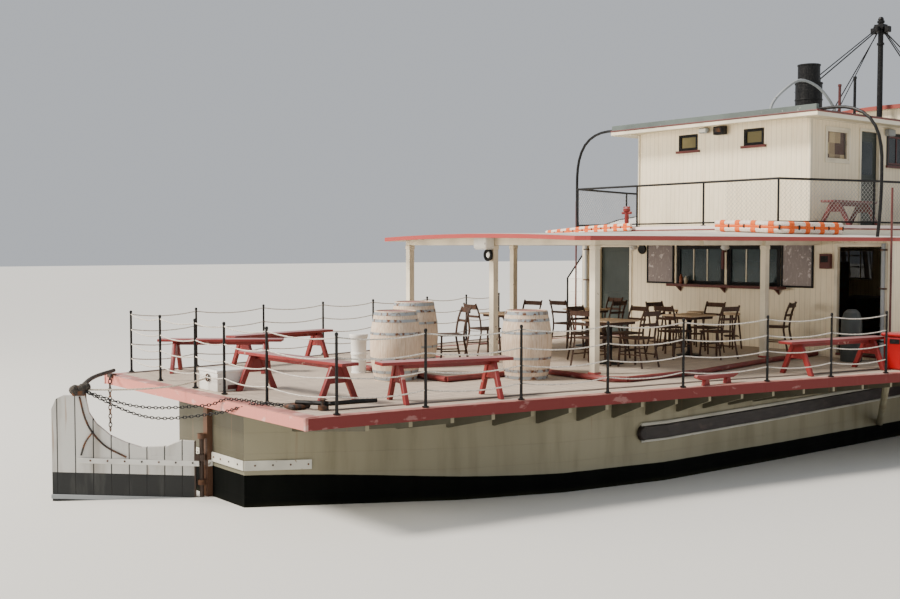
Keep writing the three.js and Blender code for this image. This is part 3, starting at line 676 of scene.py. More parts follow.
def curtain_cloth(name):
    finish = Finish(name)
    number = (finish.x / 0.19).floor() * 7 + (finish.z / 0.22).floor() * 13
    luck = finish.chance(number)
    tone = finish.blend(finish.ramp(luck, 0.25, 0.75), (0.86, 0.68, 0.40), (0.16, 0.08, 0.06))
    weave = finish.noise(90)
    finish.set(Base_Color=tone, Roughness=0.9)
    return finish.bump(weave, 0.4, 0.003)


# Each finish: the function that makes it, then its colours and amounts in that function's order
FINISHES = {
    "hull_paint": (hull_paint,),
    "hull_white": (paint, (0.60, 0.585, 0.51), (0.25, 0.17, 0.1), 0.3, 0.5),
    "cream_trim": (paint, (0.79, 0.71, 0.55), (0.35, 0.29, 0.2), 0.12, 0.5),
    "white_trim": (paint, (0.80, 0.79, 0.74), (0.35, 0.32, 0.28), 0.15, 0.5),
    "wine_trim": (paint, (0.11, 0.026, 0.022), (0.2, 0.1, 0.08), 0.1, 0.4),
    "bench_red": (paint, (0.23, 0.022, 0.020), (0.40, 0.23, 0.18), 0.35, 0.42, 0.3),
    "shaded_red": (paint, (0.11, 0.012, 0.012), (0.30, 0.15, 0.12), 0.2, 0.45, 0.05),
    "bin_red": (paint, (0.40, 0.004, 0.006), (0.3, 0.1, 0.1), 0.05, 0.3),
    "bin_grey": (paint, (0.050, 0.058, 0.056), (0.1, 0.1, 0.1), 0.05, 0.45),
    "barrel_top": (paint, (0.30, 0.09, 0.075), (0.5, 0.4, 0.3), 0.4, 0.6),
    "board_green": (paint, (0.11, 0.135, 0.125), (0.3, 0.3, 0.27), 0.2, 0.5),
    "door_green": (paint, (0.036, 0.047, 0.042), (0.15, 0.15, 0.13), 0.2, 0.45),
    "olive_paint": (paint, (0.040, 0.052, 0.040), (0.15, 0.14, 0.1), 0.15, 0.45),
    "grey_paint": (paint, (0.33, 0.35, 0.36), (0.12, 0.1, 0.08), 0.2, 0.45),
    "rail_brown": (paint, (0.075, 0.045, 0.030), (0.25, 0.2, 0.15), 0.3, 0.5),
    "mesh_wire": (paint, (0.45, 0.44, 0.41), (0.2, 0.2, 0.2), 0.1, 0.5),
    "blank_notice": (paint, (0.22, 0.175, 0.16), (0.46, 0.40, 0.37), 0.75, 0.2),
    # Near-black paint that stands for the shade inside the paddle-box vents.
    "vent_dark": (paint, (0.012, 0.012, 0.012), (0.05, 0.05, 0.05), 0.05, 0.7),
    "jar_brown": (paint, (0.25, 0.07, 0.03), (0.3, 0.3, 0.3), 0.05, 0.25),
    "jar_pale": (paint, (0.5, 0.42, 0.3), (0.3, 0.3, 0.3), 0.05, 0.25),
    "jar_green": (paint, (0.06, 0.1, 0.05), (0.3, 0.3, 0.3), 0.05, 0.25),
    "maroon_trim": (maroon_paint, (0.22, 0.032, 0.030), 0.45),
    "strake_paint": (maroon_paint, (0.014, 0.006, 0.005), 0.05),
    "edge_red": (maroon_paint, (0.36, 0.055, 0.048), 0.45),
    "faded_red": (maroon_paint, (0.50, 0.20, 0.17), 0.8),
    "black_paint": (black_paint,),
    "rudder_paint": (rudder_paint,),
    "curtain_cloth": (curtain_cloth,),
    "deck_planks": (deck_planks, (0.17, 0.020, 0.018)),
    "cream_boards": (boards, (0.86, 0.755, 0.56), (0.74, 0.62, 0.43), 0.115),
    "awning_cloth": (roof_cloth, (0.66, 0.64, 0.58), (0.36, 0.055, 0.048), 0.0),
    "promenade_cloth": (roof_cloth, (0.45, 0.43, 0.39), (0.80, 0.68, 0.64), 4.915),
    "cabin_roof_cloth": (roof_cloth, (0.48, 0.50, 0.47), (0.30, 0.06, 0.045), 7.075),
    "bridge_roof_cloth": (roof_cloth, (0.48, 0.50, 0.47), (0.30, 0.06, 0.045), 7.84),
    "chair_wood": (oak, (0.075, 0.036, 0.021), (0.028, 0.014, 0.009), 0),
    "pale_wood": (oak, (0.66, 0.50, 0.33), (0.45, 0.31, 0.19), 0),
    "weathered_wood": (oak, (0.44, 0.35, 0.26), (0.25, 0.19, 0.14), 0),
    "barrel_oak": (oak, (0.74, 0.62, 0.48), (0.50, 0.36, 0.25), 24),
    "galvanised": (iron, (0.36, 0.40, 0.42), 0.2),
    "dark_iron": (iron, (0.045, 0.042, 0.040), 0.6),
    "machine_iron": (iron, (0.10, 0.105, 0.11), 0.2),
    "hub_brass": (iron, (0.55, 0.38, 0.12), 0.0),
    "dark_glass": (glass, (0.020, 0.026, 0.028), 0.25),
    "lamp_glass": (glass, (0.75, 0.75, 0.72), 0.1),
    "bar_glass": (glass, (0.030, 0.050, 0.052), 0.45),
    "door_glass": (glass, (0.30, 0.32, 0.30), 0.2),
    "amber_glass": (glass, (0.13, 0.108, 0.045), 0.1),
    "pale_glass": (glass, (0.10, 0.10, 0.09), 0.88),
    "clear_pane": (glass, (0.055, 0.075, 0.080), 0.65),
    "tarred_rope": (rope, (0.07, 0.058, 0.045), (0.016, 0.014, 0.012)),
    "pale_rope": (rope, (0.62, 0.56, 0.46), (0.36, 0.31, 0.24)),
    "rail_line": (rope, (0.66, 0.62, 0.55), (0.36, 0.33, 0.29)),
    "float_white": (rope, (0.86, 0.80, 0.72), (0.66, 0.50, 0.40)),
    "float_orange": (rope, (0.88, 0.16, 0.022), (0.62, 0.10, 0.02)),
}
MADE = {}


def named(name):
    """The material of a finish, made the first time that it is asked for."""
    if name not in MADE:
        make, *amounts = FINISHES[name]
        MADE[name] = make(name, *amounts)
    return MADE[name]


# Boards, windows and doors on walls that face one way


class Wall:
    """A wall that faces along X or Y: spans run along it, and heights stand over the main deck."""

    def __init__(self, facing, face):
        self.across = facing[1] == "X"
        self.sign = -1 if facing[0] == "-" else 1
        self.face = face

    def board(self, span, heights, depth, edge=0.004):
        """A block from one depth to another, both outwards from the face."""
        near, far = sorted(self.face + self.sign * reach for reach in depth)
        first, last = sorted(span)
        if self.across:
            return block(over(near, first, heights[0]), over(far, last, heights[1]), edge)
        return block(over(first, near, heights[0]), over(last, far, heights[1]), edge)

    def surround(self, finish, span, heights, width, depth, edge=0.004, sides=4):
        """Boards round an opening: the two uprights, the head and, as the fourth side, the foot."""
        u0, u1 = span
        z0, z1 = heights
        uprights = (z0 - width if sides == 4 else z0, z1 + width)
        bars = (((u0 - width, u0), uprights), ((u1, u1 + width), uprights), (span, (z1, z1 + width)),
                (span, (z0 - width, z0)))
        return coated(finish, *(self.board(*bar, depth, edge) for bar in bars[:sides]))

    def window(self, span, heights, casing, sash, sill=None, panes=1, pane="dark_glass", width=0.06,
               bars=None):
        """Casing boards, a sash with glazing bars, glass and a sill."""
        inside = ((span[0] + 0.035, span[1] - 0.035), (heights[0] + 0.035, heights[1] - 0.035))
        parts = self.surround(casing, span, heights, width, (0.0, 0.018))
        parts += self.surround(sash, *inside, 0.035, (-0.045, 0.006))
        step = (inside[0][1] - inside[0][0]) / panes
        for bar in range(1, panes):
            middle = inside[0][0] + bar * step
            parts += coated(bars or sash, self.board((middle - 0.012, middle + 0.012), inside[1],
                                                     (-0.04, -0.005)))
        if sill:
            parts += coated(sill, self.board((span[0] - 0.08, span[1] + 0.08),
                                             (heights[0] - 0.07, heights[0] - 0.02), (0.0, 0.05)))
        return parts + coated(pane, self.board(*inside, (-0.028, -0.022), 0))


def bolts(places, direction, radius=0.014):
    """Round bolt heads that stand on a face with the given direction."""
    head = turned([(0, 0), (radius, 0), (radius, 0.4 * radius), (0.6 * radius, 0.8 * radius),
                   (0, 0.9 * radius)], steps=8)
    return copies(head, [pose(place) @ toward(direction) for place in places])


def chain(points, link=0.05, wire=0.007):
    """Chain links along a path, every other one turned a quarter."""
    piece = placed(ring(link * 0.36, wire, (8, 4)), Matrix.Scale(1.55, 4, (1, 0, 0)))
    places = []
    spent = 0.0
    for a, b in zip(points, points[1:]):
        run = b - a
        while spent < run.length:
            place = a + run.normalized() * spent
            places.append(pose(place) @ toward(run, "X", "Z")
                          @ pose((0, 0, 0), 90 * (len(places) % 2), "X"))
            spent += link
        spent -= run.length
    return copies(piece, places)


class StageProps(bpy.types.PropertyGroup):
    floor_colour: bpy.props.FloatVectorProperty(
        name="Floor", description="Colour of the floor at the waterline", subtype="COLOR", size=3,
        default=(0.72, 0.71, 0.67), min=0, max=1)
    sun_power: bpy.props.FloatProperty(
        name="Key light", description="Strength of the soft key light", default=5.2, min=0)
    low_power: bpy.props.FloatProperty(
        name="Low light", description="Strength of the low warm light from the port quarter", default=9500,
        min=0)
    sky_power: bpy.props.FloatProperty(
        name="Fill light", description="Strength of the pale sky", default=0.62, min=0)


class SeatProps(bpy.types.PropertyGroup):
    chair_seat: bpy.props.FloatProperty(
        name="Chair seat", description="Top of the chair seat over the platform", default=0.46,
        unit="LENGTH")
    stool_seat: bpy.props.FloatProperty(
        name="Stool seat", description="Top of the stool seat over the platform", default=0.70,
        unit="LENGTH")
    barrel_bulge: bpy.props.FloatProperty(
        name="Barrel bulge", description="Radius of a barrel at its middle", default=0.4, unit="LENGTH")


class RailProps(bpy.types.PropertyGroup):
    stanchion: bpy.props.FloatProperty(
        name="Stanchion", description="Height of a deck stanchion", default=1.0, unit="LENGTH")
    line_radius: bpy.props.FloatProperty(
        name="Line", description="Radius of a rail line", default=0.009, unit="LENGTH")
    sag: bpy.props.FloatProperty(
        name="Sag", description="How far a rail line hangs between stanchions", default=0.055,
        unit="LENGTH")
    mesh_pitch: bpy.props.FloatProperty(
        name="Mesh pitch", description="Distance between the wires of the promenade mesh", default=0.085,
        unit="LENGTH")


class Maker:
    """What every operator here shares."""
    bl_options = {"REGISTER", "UNDO"}


def aimed(direction):
    return Vector(direction).to_track_quat("-Z", "Y").to_euler()


def light(kind, place, direction, colour, energy):
    bpy.ops.object.light_add(type=kind, location=place)
    lamp = bpy.context.object
    lamp.data.color = colour
    lamp.data.energy = energy
    lamp.rotation_euler = aimed(direction)
    return lamp


class STEAMER_OT_stage(Maker, bpy.types.Operator):
    """Sets the camera, the lights and the pale floor at the waterline"""
    bl_idname = "steamer.stage"
    bl_label = "Stage"

    def execute(self, context):
        props = context.scene.steamer_stage
        clear()
        bpy.ops.mesh.primitive_plane_add(size=400, location=(0, 0, WATER))
        floor = settle(context.object)
        floor.name = "floor"
        finish = Finish("floor_paint", 0.8)
        pale = tuple(props.floor_colour)
        coated(finish.set(Base_Color=finish.blend(finish.noise(0.08), pale, dim(pale, 0.97))), floor)

        bpy.ops.object.camera_add(location=CAMERA_PLACE)
        camera = context.object
        camera.data.sensor_width = 36
        camera.data.lens = CAMERA_LENS
        camera.data.clip_end = 600
        flat = math.cos(CAMERA_PITCH)
        camera.rotation_euler = aimed((math.sin(CAMERA_YAW) * flat, math.cos(CAMERA_YAW) * flat,
                                       -math.sin(CAMERA_PITCH)))
        context.scene.camera = camera

        key = light("SUN", (-20, 15, 25), (0.60, -0.30, -0.74), (1, 0.93, 0.84), props.sun_power)
        key.data.angle = math.radians(14)
        low = light("AREA", (-34, 14, 7), (30, -12, -3), (1, 0.92, 0.80), props.low_power)
        low.data.size = 14
        low.visible_glossy = False
        world = bpy.data.worlds.new("pale_sky")
        world.use_nodes = True
        sky = world.node_tree.nodes["Background"]
        sky.inputs["Color"].default_value = (0.86, 0.90, 0.96, 1)
        sky.inputs["Strength"].default_value = props.sky_power
        context.scene.world = world
        return {"FINISHED"}


class STEAMER_OT_frame_coats(Maker, bpy.types.Operator):
    """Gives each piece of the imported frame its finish"""
    bl_idname = "steamer.frame_coats"
    bl_label = "Coats of the frame"

    def execute(self, context):
        nodes = {
            "hull_paint": "hull",
            "deck_planks": "main_deck seating_platform",
            "board_green": "roof_board",
            "weathered_wood": "hatch_cover companion_ladder",
            "strake_paint": "strake_starboard strake_port",
            "cream_boards": "lower_house upper_cabin wheelhouse hatch_coaming",
            "awning_cloth": "awning_roof",
            "promenade_cloth": "promenade_deck",
            "cabin_roof_cloth": "upper_roof",
            "rudder_paint": "rudder",
            "bridge_roof_cloth": "wheelhouse_roof",
            "cream_trim": "awning_frame",
            "chair_wood": "steering_stand",
            "door_green": "door_lower_port door_cabin_port door_cabin_starboard door_wheelhouse_port "
                          "door_wheelhouse_starboard",
            "white_trim": "paddle_box_starboard paddle_box_port",
            "olive_paint": "door_lower_starboard",
            "black_paint": "funnel mast pipe_hoop_starboard pipe_hoop_port",
            "machine_iron": "boiler engine paddle_shaft",
            "bench_red": "paddle_wheel_starboard paddle_wheel_port",
        }
        for finish, names in nodes.items():
            coated(finish, *(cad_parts[name] for name in names.split()))
        return {"FINISHED"}


class STEAMER_OT_hull_trim(Maker, bpy.types.Operator):
    """Adds strap plates, mouldings, the stem band and an anchor to the hull"""
    bl_idname = "steamer.hull_trim"
    bl_label = "Hull trim"

    def execute(self, context):
        side = [[hull_point(s, 0.004, z) for z in (1.51, 1.645)] for s in (0.3, 0.7, 1.1)]
        parts = coated("hull_white", strip(side, -0.016, 0.004),
                       block(at(0.28, -1.0, 1.51), at(0.3, -0.07, 1.645)))
        heads = bolts([hull_point(s, 0.02, 1.58) for s in (0.42, 0.63, 0.84, 1.05)], (-0.5, -0.86, 0))
        heads += bolts([at(0.28, y, 1.58) for y in (-0.85, -0.6, -0.35, -0.15)], (-1, 0, 0))
        parts += coated("dark_iron", *heads)
        parts += coated("white_trim", block(at(0.235, -0.075, 1.44), at(0.33, -0.058, 1.53), 0.003))
        ready("hull_straps", mirrored(parts))

        parts = []
        for height, radius in ((1.89, 0.026), (1.635, 0.018)):
            line = [hull_point(s, 0.02, height + (min(s, 13) - 5.5) * 0.018)
                    for s in (5.74, 6.2, 9.0, 13.0, 22.45)]
            parts += coated("hull_white", tube(line, radius))
        end = turned([(0, 0), (0.11, 0), (0.11, 0.062), (0.095, 0.076), (0, 0.076)], along="Y")
        parts += coated("strake_paint", placed(end, pose(at(5.76, -3.30, 1.764), 190)))
        ready("strake_mouldings", mirrored(parts))

        stem = [at(33.9, 0, 0.45), at(34.12, 0, 0.9), at(34.13, 0, 2.0), at(34.14, 0, 3.2)]
        pipe = turned([(0.05, 0), (0.13, 0), (0.15, 0.03), (0.12, 0.06), (0.07, 0.07), (0.05, 0.05)],
                      at(32.6, -0.98, 2.85), "Y", 16)
        parts = coated("dark_iron", tube(stem, 0.05), *mirrored([pipe]))

        def anchor(station, out, z):
            return at(station, out - 1.2, z)
        arms = [anchor(*row) for row in ((31.3, -0.45, 3.16), (31.0, -0.25, 3.13), (30.93, 0, 3.12),
                                         (31.0, 0.25, 3.13), (31.3, 0.45, 3.16))]
        parts += coated("black_paint", rod(anchor(31.0, 0, 3.13), anchor(31.9, 0, 3.19), 0.03),
                        rod(anchor(31.85, -0.35, 3.19), anchor(31.85, 0.35, 3.19), 0.022),
                        tube(smooth(arms), 0.03))
        for hand in (-1, 1):
            fluke = [anchor(s, hand * out, z) for s, out, z in ((31.42, 0.54, 3.16), (31.22, 0.35, 3.14),
                                                                (31.2, 0.52, 3.15))]
            parts += coated("black_paint", slab(fluke, up(0.03)))
        ready("bow_ironwork", parts)
        return {"FINISHED"}


class STEAMER_OT_rudder_gear(Maker, bpy.types.Operator):
    """Adds straps, battens and bolts to the rudder, and its chains and ropes"""
    bl_idname = "steamer.rudder_gear"
    bl_label = "Rudder gear"

    def execute(self, context):
        parts = []
        strap = ((0.03, -0.975), (1.70, -0.895), (1.70, -0.965), (0.03, -1.05))
        batten = ((0.09, -1.50), (2.07, -1.40), (2.07, -1.46), (0.09, -1.57))
        bends = (((1.67, -0.03), (1.60, -0.33), (1.50, -0.54), (1.32, -0.74), (1.04, -0.90)),
                 ((1.66, -0.86), (1.60, -0.68), (1.50, -0.54)))
        spots = [0.12 + 0.235 * number for number in range(7)]
        for side in (-1, 1):
            for rows, face, thick, finish in ((strap, 0.052, 0.014, "white_trim"),
                                              (batten, 0.04, 0.02, "grey_paint")):
                outline = [blade_point(s, z, face * side) for s, z in rows]
                parts += coated(finish, slab(outline, BLADE_SIDE * thick * side, 0.003))
            heads = bolts([blade_point(s, -1.005 + 0.047 * s, 0.066 * side) for s in spots],
                          BLADE_SIDE * side)
            rods = [tube(smooth([blade_point(s, z, 0.047 * side) for s, z in bend]), 0.014)
                    for bend in bends]
            parts += coated("dark_iron", *heads, *rods)
        pins = [rod(blade_point(s, -0.4), blade_point(s, 0.05), 0.02, sides=8) for s in (1.72, 1.6)]
        cap = placed(block((-0.09, -0.06, -0.04), (0.09, 0.06, 0.1), 0.012),
                     pose(blade_point(1.68, 0.02), -RUDDER_DEGREES))
        parts += coated("dark_iron", *pins, cap)
        knot = turned([(0, -0.1), (0.04, -0.08), (0.065, -0.03), (0.056, 0.015), (0.068, 0.045),
                       (0.04, 0.09), (0, 0.1)], steps=12)
        parts += coated("tarred_rope", *copies(knot, [pose(blade_point(1.75, 0.06), 75, "X"),
                                                      pose(blade_point(1.62, 0.09), 80, "Y")]))
        ready("rudder_ironwork", parts, "rudder_body")

        head = blade_point(1.66, 0.06)
        # Rows of name, finish, radius and rings of a rope (none for a chain), rise at the rudder and places
        runs = (
            ("chain_low", "black_paint", None, 0,
             ((-0.7, -0.1, 2.24), (-0.12, -0.95, 2.33), (0.06, -1.7, 2.52), (0.30, -2.25, 2.54))),
            ("chain_high", "black_paint", None, 0,
             ((-0.75, 0.05, 2.37), (-0.16, -0.75, 2.42), (0.02, -1.1, 2.53), (0.2, -1.9, 2.54),
              (0.30, -2.2, 2.54))),
            ("rope_to_box", "pale_rope", (0.013, 1), 0,
             ((-0.6, 0.45, 2.56), (-0.1, 0.2, 2.6), (0.38, 0.12, 2.69))),
            ("rope_to_quarter", "tarred_rope", (0.032, 2), 0.03, ((-0.72, 1.75, 2.62), (0.05, 2.85, 2.58))),
        )
        for name, finish, size, rise, places in runs:
            path = smooth([head + up(rise), *(at(*place) for place in places)], 8)
            piece = joined(name, coated(finish, *([tube(path, *size)] if size else chain(path))), 50)
            end = max((vertex.co for vertex in piece.data.vertices),
                      key=lambda place: (place - head).length)
            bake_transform(piece)
        hanging = chain([at(-0.03, 2.82, 2.48), at(-0.03, 2.82, 1.62)], 0.07, 0.009)
        hanging.append(block(at(-0.05, 2.75, 2.47), at(0.06, 2.9, 2.53), 0.01))
        ready("quarter_chain", coated("dark_iron", *hanging))
        return {"FINISHED"}


class STEAMER_OT_deck_trim(Maker, bpy.types.Operator):
    """Adds covering boards, toe rails and pipe runs to the main deck"""
    bl_idname = "steamer.deck_trim"
    bl_label = "Deck trim"

    def execute(self, context):
        parts = []
        for stations in ((0.02, 2, 4, 6, 8, 10, 12, 12.9),
                         (18.35, 19.4, 21.5, 24, 26, 29.3, 30.7, 32, 33.4)):
            rows = [[at(s, width - read(DECK_EDGE, s), deck_top(s) + 0.001) for width in (0.0, 0.17)]
                    for s in stations]
            parts.append(strip(rows, 0.009, 0.003))
        parts.append(block(over(-0.012, -3.108, -0.155), over(0.03, -3.06, 0.012), 0.004))
        parts = [*mirrored(parts), block(over(0.0, -3.08, 0.001), over(0.2, 3.08, 0.011), 0.003)]
        ready("covering_boards", coated("faded_red", *parts))

        starboard = [(0.34, -2.3), (0.61, -2.69), (1.26, -2.78), (2.44, -2.98), (3.56, -3.1), (4.95, -3.36),
                     (6.58, -3.62), (8.6, -4.05), (10.5, -4.40)]
        port = [(0.34, 3.0), (2, 3.22), (4, 3.55), (6, 3.91), (8, 4.3), (10, 4.73), (11.9, 5.2)]
        parts = []
        for run, tall in ((starboard, 0.055), (port, 0.075)):
            rows = [[over(s, y + side, 0.012) for side in (-0.045, 0.045)] for s, y in run]
            parts += coated("rail_brown", strip(rows, tall, 0.008))
        parts += coated("black_paint", tube([over(s, y, 0.09) for s, y in starboard[:3]], 0.032))
        valve = [(0, 0), (0.07, 0), (0.07, 0.05), (0.03, 0.06), (0.03, 0.12), (0.06, 0.13), (0, 0.15)]
        parts += coated("dark_iron", block(over(0.22, -2.42, 0.01), over(0.5, -2.18, 0.07), 0.02),
                        turned(valve, over(0.55, -2.62, 0.01), steps=12))
        ready("toe_rails", parts)

        nosing = []
        aft = [(3.63, 0.0), (3.63, 1.26), (5.58, 1.26), (5.58, 2.83), (5.77, 3.0)]
        for hand, side in ((-1, [(7.5, 3.03), (9.87, 2.58), (11.76, 2.35)]), (1, [(11.7, 3.0)])):
            line = [over(s, hand * y, 0.05) for s, y in aft + side]
            nosing += [rod(start, end, 0.045, sides=8) for start, end in zip(line, line[1:])]
        ready("platform_nosing", coated("maroon_trim", *nosing))
        return {"FINISHED"}


class STEAMER_OT_deck_gear(Maker, bpy.types.Operator):
    """Makes the locker, bins, kevel and other loose gear of the deck"""
    bl_idname = "steamer.deck_gear"
    bl_label = "Deck gear"

    def execute(self, context):
        low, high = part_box("deck_box")
        lid = Vector((0.012, 0.012, 0))
        parts = coated("white_trim", block(low, high, 0.012, 2),
                       block((low.x - lid.x, low.y - lid.y, high.z - 0.03), high + lid + up(0.008), 0.006))
        parts += coated("wine_trim", block((low.x + 0.16, low.y - 0.006, low.z + 0.03),
                                           (high.x - 0.02, low.y + 0.01, low.z + 0.09), 0.003))
        parts += coated("dark_iron", ring(0.05, 0.012, (16, 6), (low.x - 0.02, 0.1, low.z + 0.19),
                                          (0, math.pi / 2, 0)))
        ready("locker", parts, stands_for=("deck_box",))

        low, high, foot = room("deck_vent")
        tall = high.z - low.z
        profile = [(0, 0), (0.125, 0), (0.125, 0.02), (0.118, 0.03), (0.122, 0.30), (0.132, 0.30),
                   (0.132, 0.33), (0.124, 0.34), (0.13, 0.55), (0.152, 0.60), (0.155, 0.62), (0.15, tall),
                   (0.06, tall), (0, tall - 0.01)]
        ready("white_bin", coated("white_trim", turned(profile, foot, steps=28)),
              stands_for=("deck_vent",))

        low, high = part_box("kevel")
        wide = high.y - low.y
        horn = [(low.x, -0.03), (low.x + 0.12, -0.075), (high.x - 0.12, -0.075), (high.x, -0.03),
                (high.x - 0.02, 0.01), (high.x - 0.2, -0.004), (low.x + 0.2, -0.004), (low.x + 0.02, 0.01)]
        parts = [slab([(x, low.y, high.z + z) for x, z in horn], (0, wide, 0), 0.01)]
        for x in (low.x + 0.2, high.x - 0.28):
            leg = [(x - 0.03, low.z), (x + 0.11, low.z), (x + 0.08, high.z - 0.07), (x, high.z - 0.07)]
            parts.append(slab([(x, low.y + 0.005, z) for x, z in leg], (0, wide - 0.01, 0), 0.006))
        ready("kevel_worn", coated("bench_red", *parts), stands_for=("kevel",))

        parts = []
        for grow, rise, tall, edge in ((0, CLEARANCE, 0.56, 0.03), (0.03, CLEARANCE + 0.56, 0.06, 0.02)):
            corners = ((10.58 - grow, -4.84 - grow), (11.24 + grow, -4.96 - grow),
                       (11.24 + grow, -4.52 + grow), (10.58 - grow, -4.40 + grow))
            parts += coated("bin_red", slab([over(s, y, rise) for s, y in corners], up(tall), edge))
        parts += coated("black_paint", block(over(10.57, -4.71, CLEARANCE + 0.44),
                                             over(10.58, -4.53, CLEARANCE + 0.52), 0.004))
        ready("red_bin", parts)

        profile = [(0, 0), (0.18, 0), (0.192, 0.03), (0.187, 0.4), (0.18, 0.76), (0.14, 0.88), (0.08, 0.94),
                   (0, 0.95)]
        ready("grey_bin", coated("bin_grey", turned(profile, over(11.3, -3.37, CLEARANCE), steps=28)))

        place = at(11.6, 2.35, PROMENADE)
        profile = [(0, 0), (0.10, 0), (0.10, 0.03), (0.05, 0.05), (0.045, 0.36), (0.08, 0.39), (0.08, 0.44),
                   (0.03, 0.48), (0, 0.49)]
        parts = [turned(profile, place, steps=16),
                 rod(place + Vector((0, -0.13, 0.35)), place + Vector((0, 0.13, 0.35)), 0.03),
                 rod(place + Vector((-0.02, -0.1, 0.47)), place + Vector((0.02, 0.1, 0.47)), 0.02)]
        ready("fire_hydrant", coated("bench_red", *parts))
        return {"FINISHED"}


def open_rail(name, places, props, node):
    """Stanchions with four hanging lines through them."""
    tall = props.stanchion
    profile = [(0, 0), (0.048, 0), (0.048, 0.012), (0.024, 0.02), (0.021, 0.05), (0.018, tall - 0.03),
               (0.024, tall - 0.02), (0.022, tall + 0.002), (0.012, tall + 0.014), (0, tall + 0.016)]
    parts = coated("black_paint", *copies(turned(profile, steps=10), [pose(place) for place in places]))
    for share in (0.95, 0.70, 0.46, 0.22):
        eyes = [place + up(share * tall) for place in places]
        path = []
        for a, b in zip(eyes, eyes[1:]):
            path += sagging(a, b, props.sag * min(1, (b - a).length / 1.4))[:-1]
        parts += coated("rail_line", tube([*path, eyes[-1]], props.line_radius, 0))
    ready(name, parts, stands_for=(node,))


def mesh_wires(foot, next_foot, tall, pitch):
    """Ends of the crossed wires of one bay, clipped at its two posts."""
    run = next_foot - foot
    wires = []
    for number in range(int((run.length + tall) / pitch)):
        for lean in (1, -1):
            offset = (number + 0.5) * pitch - (tall if lean > 0 else 0)
            ends = []
            for height in (0, tall):
                along = offset + lean * height
                inside = min(max(along, 0.0), run.length)
                ends.append(foot + run.normalized() * inside + up(0.08 + height + (inside - along) * lean))
            if abs(ends[0].z - ends[1].z) >= 0.02:
                wires.append(ends)
    return wires


STERN_POSTS = ((10.01, 4.8), (8.83, 4.545), (7.53, 4.275), (5.92, 3.965), (4.58, 3.72), (3.15, 3.48),
               (1.7, 3.25), (0.45, 3.085), (0.3, 1.64), (0.3, 0.45))
PROMENADE_POSTS = ((20.2, 3.35), (17.2, 3.35), (14.5, 3.35), (12.41, 3.1), (10.25, 2.52), (10.25, 0.84))
PROMENADE_RAIL = 0.83


class STEAMER_OT_rails(Maker, bpy.types.Operator):
    """Makes the stern rail, the bow rail and the promenade rail with its mesh"""
    bl_idname = "steamer.rails"
    bl_label = "Rails"

    def execute(self, context):
        props = context.scene.steamer_rails
        bow = [(s, read(DECK_EDGE, s) - 0.11) for s in (21.1, 22.7, 24.3, 26, 27.7, 29.3, 30.7, 32, 33.2)]
        for name, posts, node in (("stern_rail_lines", STERN_POSTS, "stern_rail"),
                                  ("bow_rail_lines", bow, "bow_rail")):
            places = [at(s, -y, deck_top(s) + 0.01) for s, y in posts]
            places += [at(s, y, deck_top(s) + 0.01) for s, y in reversed(posts)]
            open_rail(name, places, props, node)

        starboard, port = [[at(s, hand * y, PROMENADE) for s, y in PROMENADE_POSTS] for hand in (-1, 1)]
        feet = starboard + port[::-1]
        parts = [tube([foot + up(PROMENADE_RAIL) for foot in feet], 0.024),
                 tube([foot + up(0.06) for foot in feet], 0.018)]
        for foot in feet:
            parts.append(rod(foot, foot + up(PROMENADE_RAIL), 0.02, sides=8))
            parts.append(turned([(0, 0), (0.05, 0), (0.05, 0.01), (0.024, 0.02), (0, 0.02)], foot,
                                steps=10))
        parts = coated("black_paint", *parts)
        meshed = [*starboard[:5], at(10.25, -1.35, PROMENADE)]
        places = []
        for foot, next_foot in (*zip(meshed, meshed[1:]), *zip(port[:5], port[1:5])):
            for start, end in mesh_wires(foot, next_foot, PROMENADE_RAIL - 0.10, props.mesh_pitch):
                stretch = Matrix.Scale((end - start).length, 4, (0, 0, 1))
                places.append(pose(start) @ toward(end - start) @ stretch)
        wire = rod((0, 0, 0), (0, 0, 1), 0.0028, sides=3)
        parts += coated("mesh_wire", *copies(wire, places))
        ready("promenade_rail_mesh", parts, stands_for=("promenade_rail",))
        return {"FINISHED"}


# Rows of name, station, y, floor, turn in degrees, length and height
BENCHES = (
    ("bench_stern_port", 1.65, 2.25, DECK, -39, 2.05, 0.55), ("bench_port", 3.15, 2.85, DECK, 8, 2.2, 0.55),
    ("bench_stern", 1.01, -1.18, DECK, -86, 2.5, 0.55),
    ("bench_starboard", 2.4, -2.78, DECK, -14, 1.95, 0.55),
    ("bench_forward", 9.57, -4.12, DECK, -8, 2.3, 0.55),
    ("bench_promenade", 12.51, -2.53, PROMENADE, 0, 1.5, 0.48),
)


class STEAMER_OT_benches(Maker, bpy.types.Operator):
    """Makes the red trestle benches"""
    bl_idname = "steamer.benches"
    bl_label = "Benches"

    def execute(self, context):
        for name, station, y, floor, degrees, length, height in BENCHES:
            under = height - 0.045
            parts = [block((-length / 2, -0.14, under), (length / 2, 0.14, height), 0.008, 2),
                     block((-length / 2 + 0.3, -0.02, height - 0.105), (length / 2 - 0.3, 0.02, under))]
            for end in (-1, 1):
                middle = end * (length / 2 - 0.28)
                for hand in (-1, 1):
                    leg = [(middle - 0.03, hand * out, z)
                           for out, z in ((0.345, 0.0), (0.255, 0.0), (0.025, under), (0.115, under))]
                    parts.append(slab(leg, (0.06, 0, 0), 0.006))
                panel = [(middle - 0.014, out, z)
                         for out, z in ((-0.19, 0.26), (0.19, 0.26), (0.08, under), (-0.08, under))]
                parts.append(slab(panel, (0.028, 0, 0), 0.003))
            coated("shaded_red" if floor == PROMENADE else "bench_red", *parts)
            bench = [placed(part, pose(at(station, y, floor + CLEARANCE), degrees)) for part in parts]
            ready(name + "_timber", bench, stands_for=(name,))
        return {"FINISHED"}


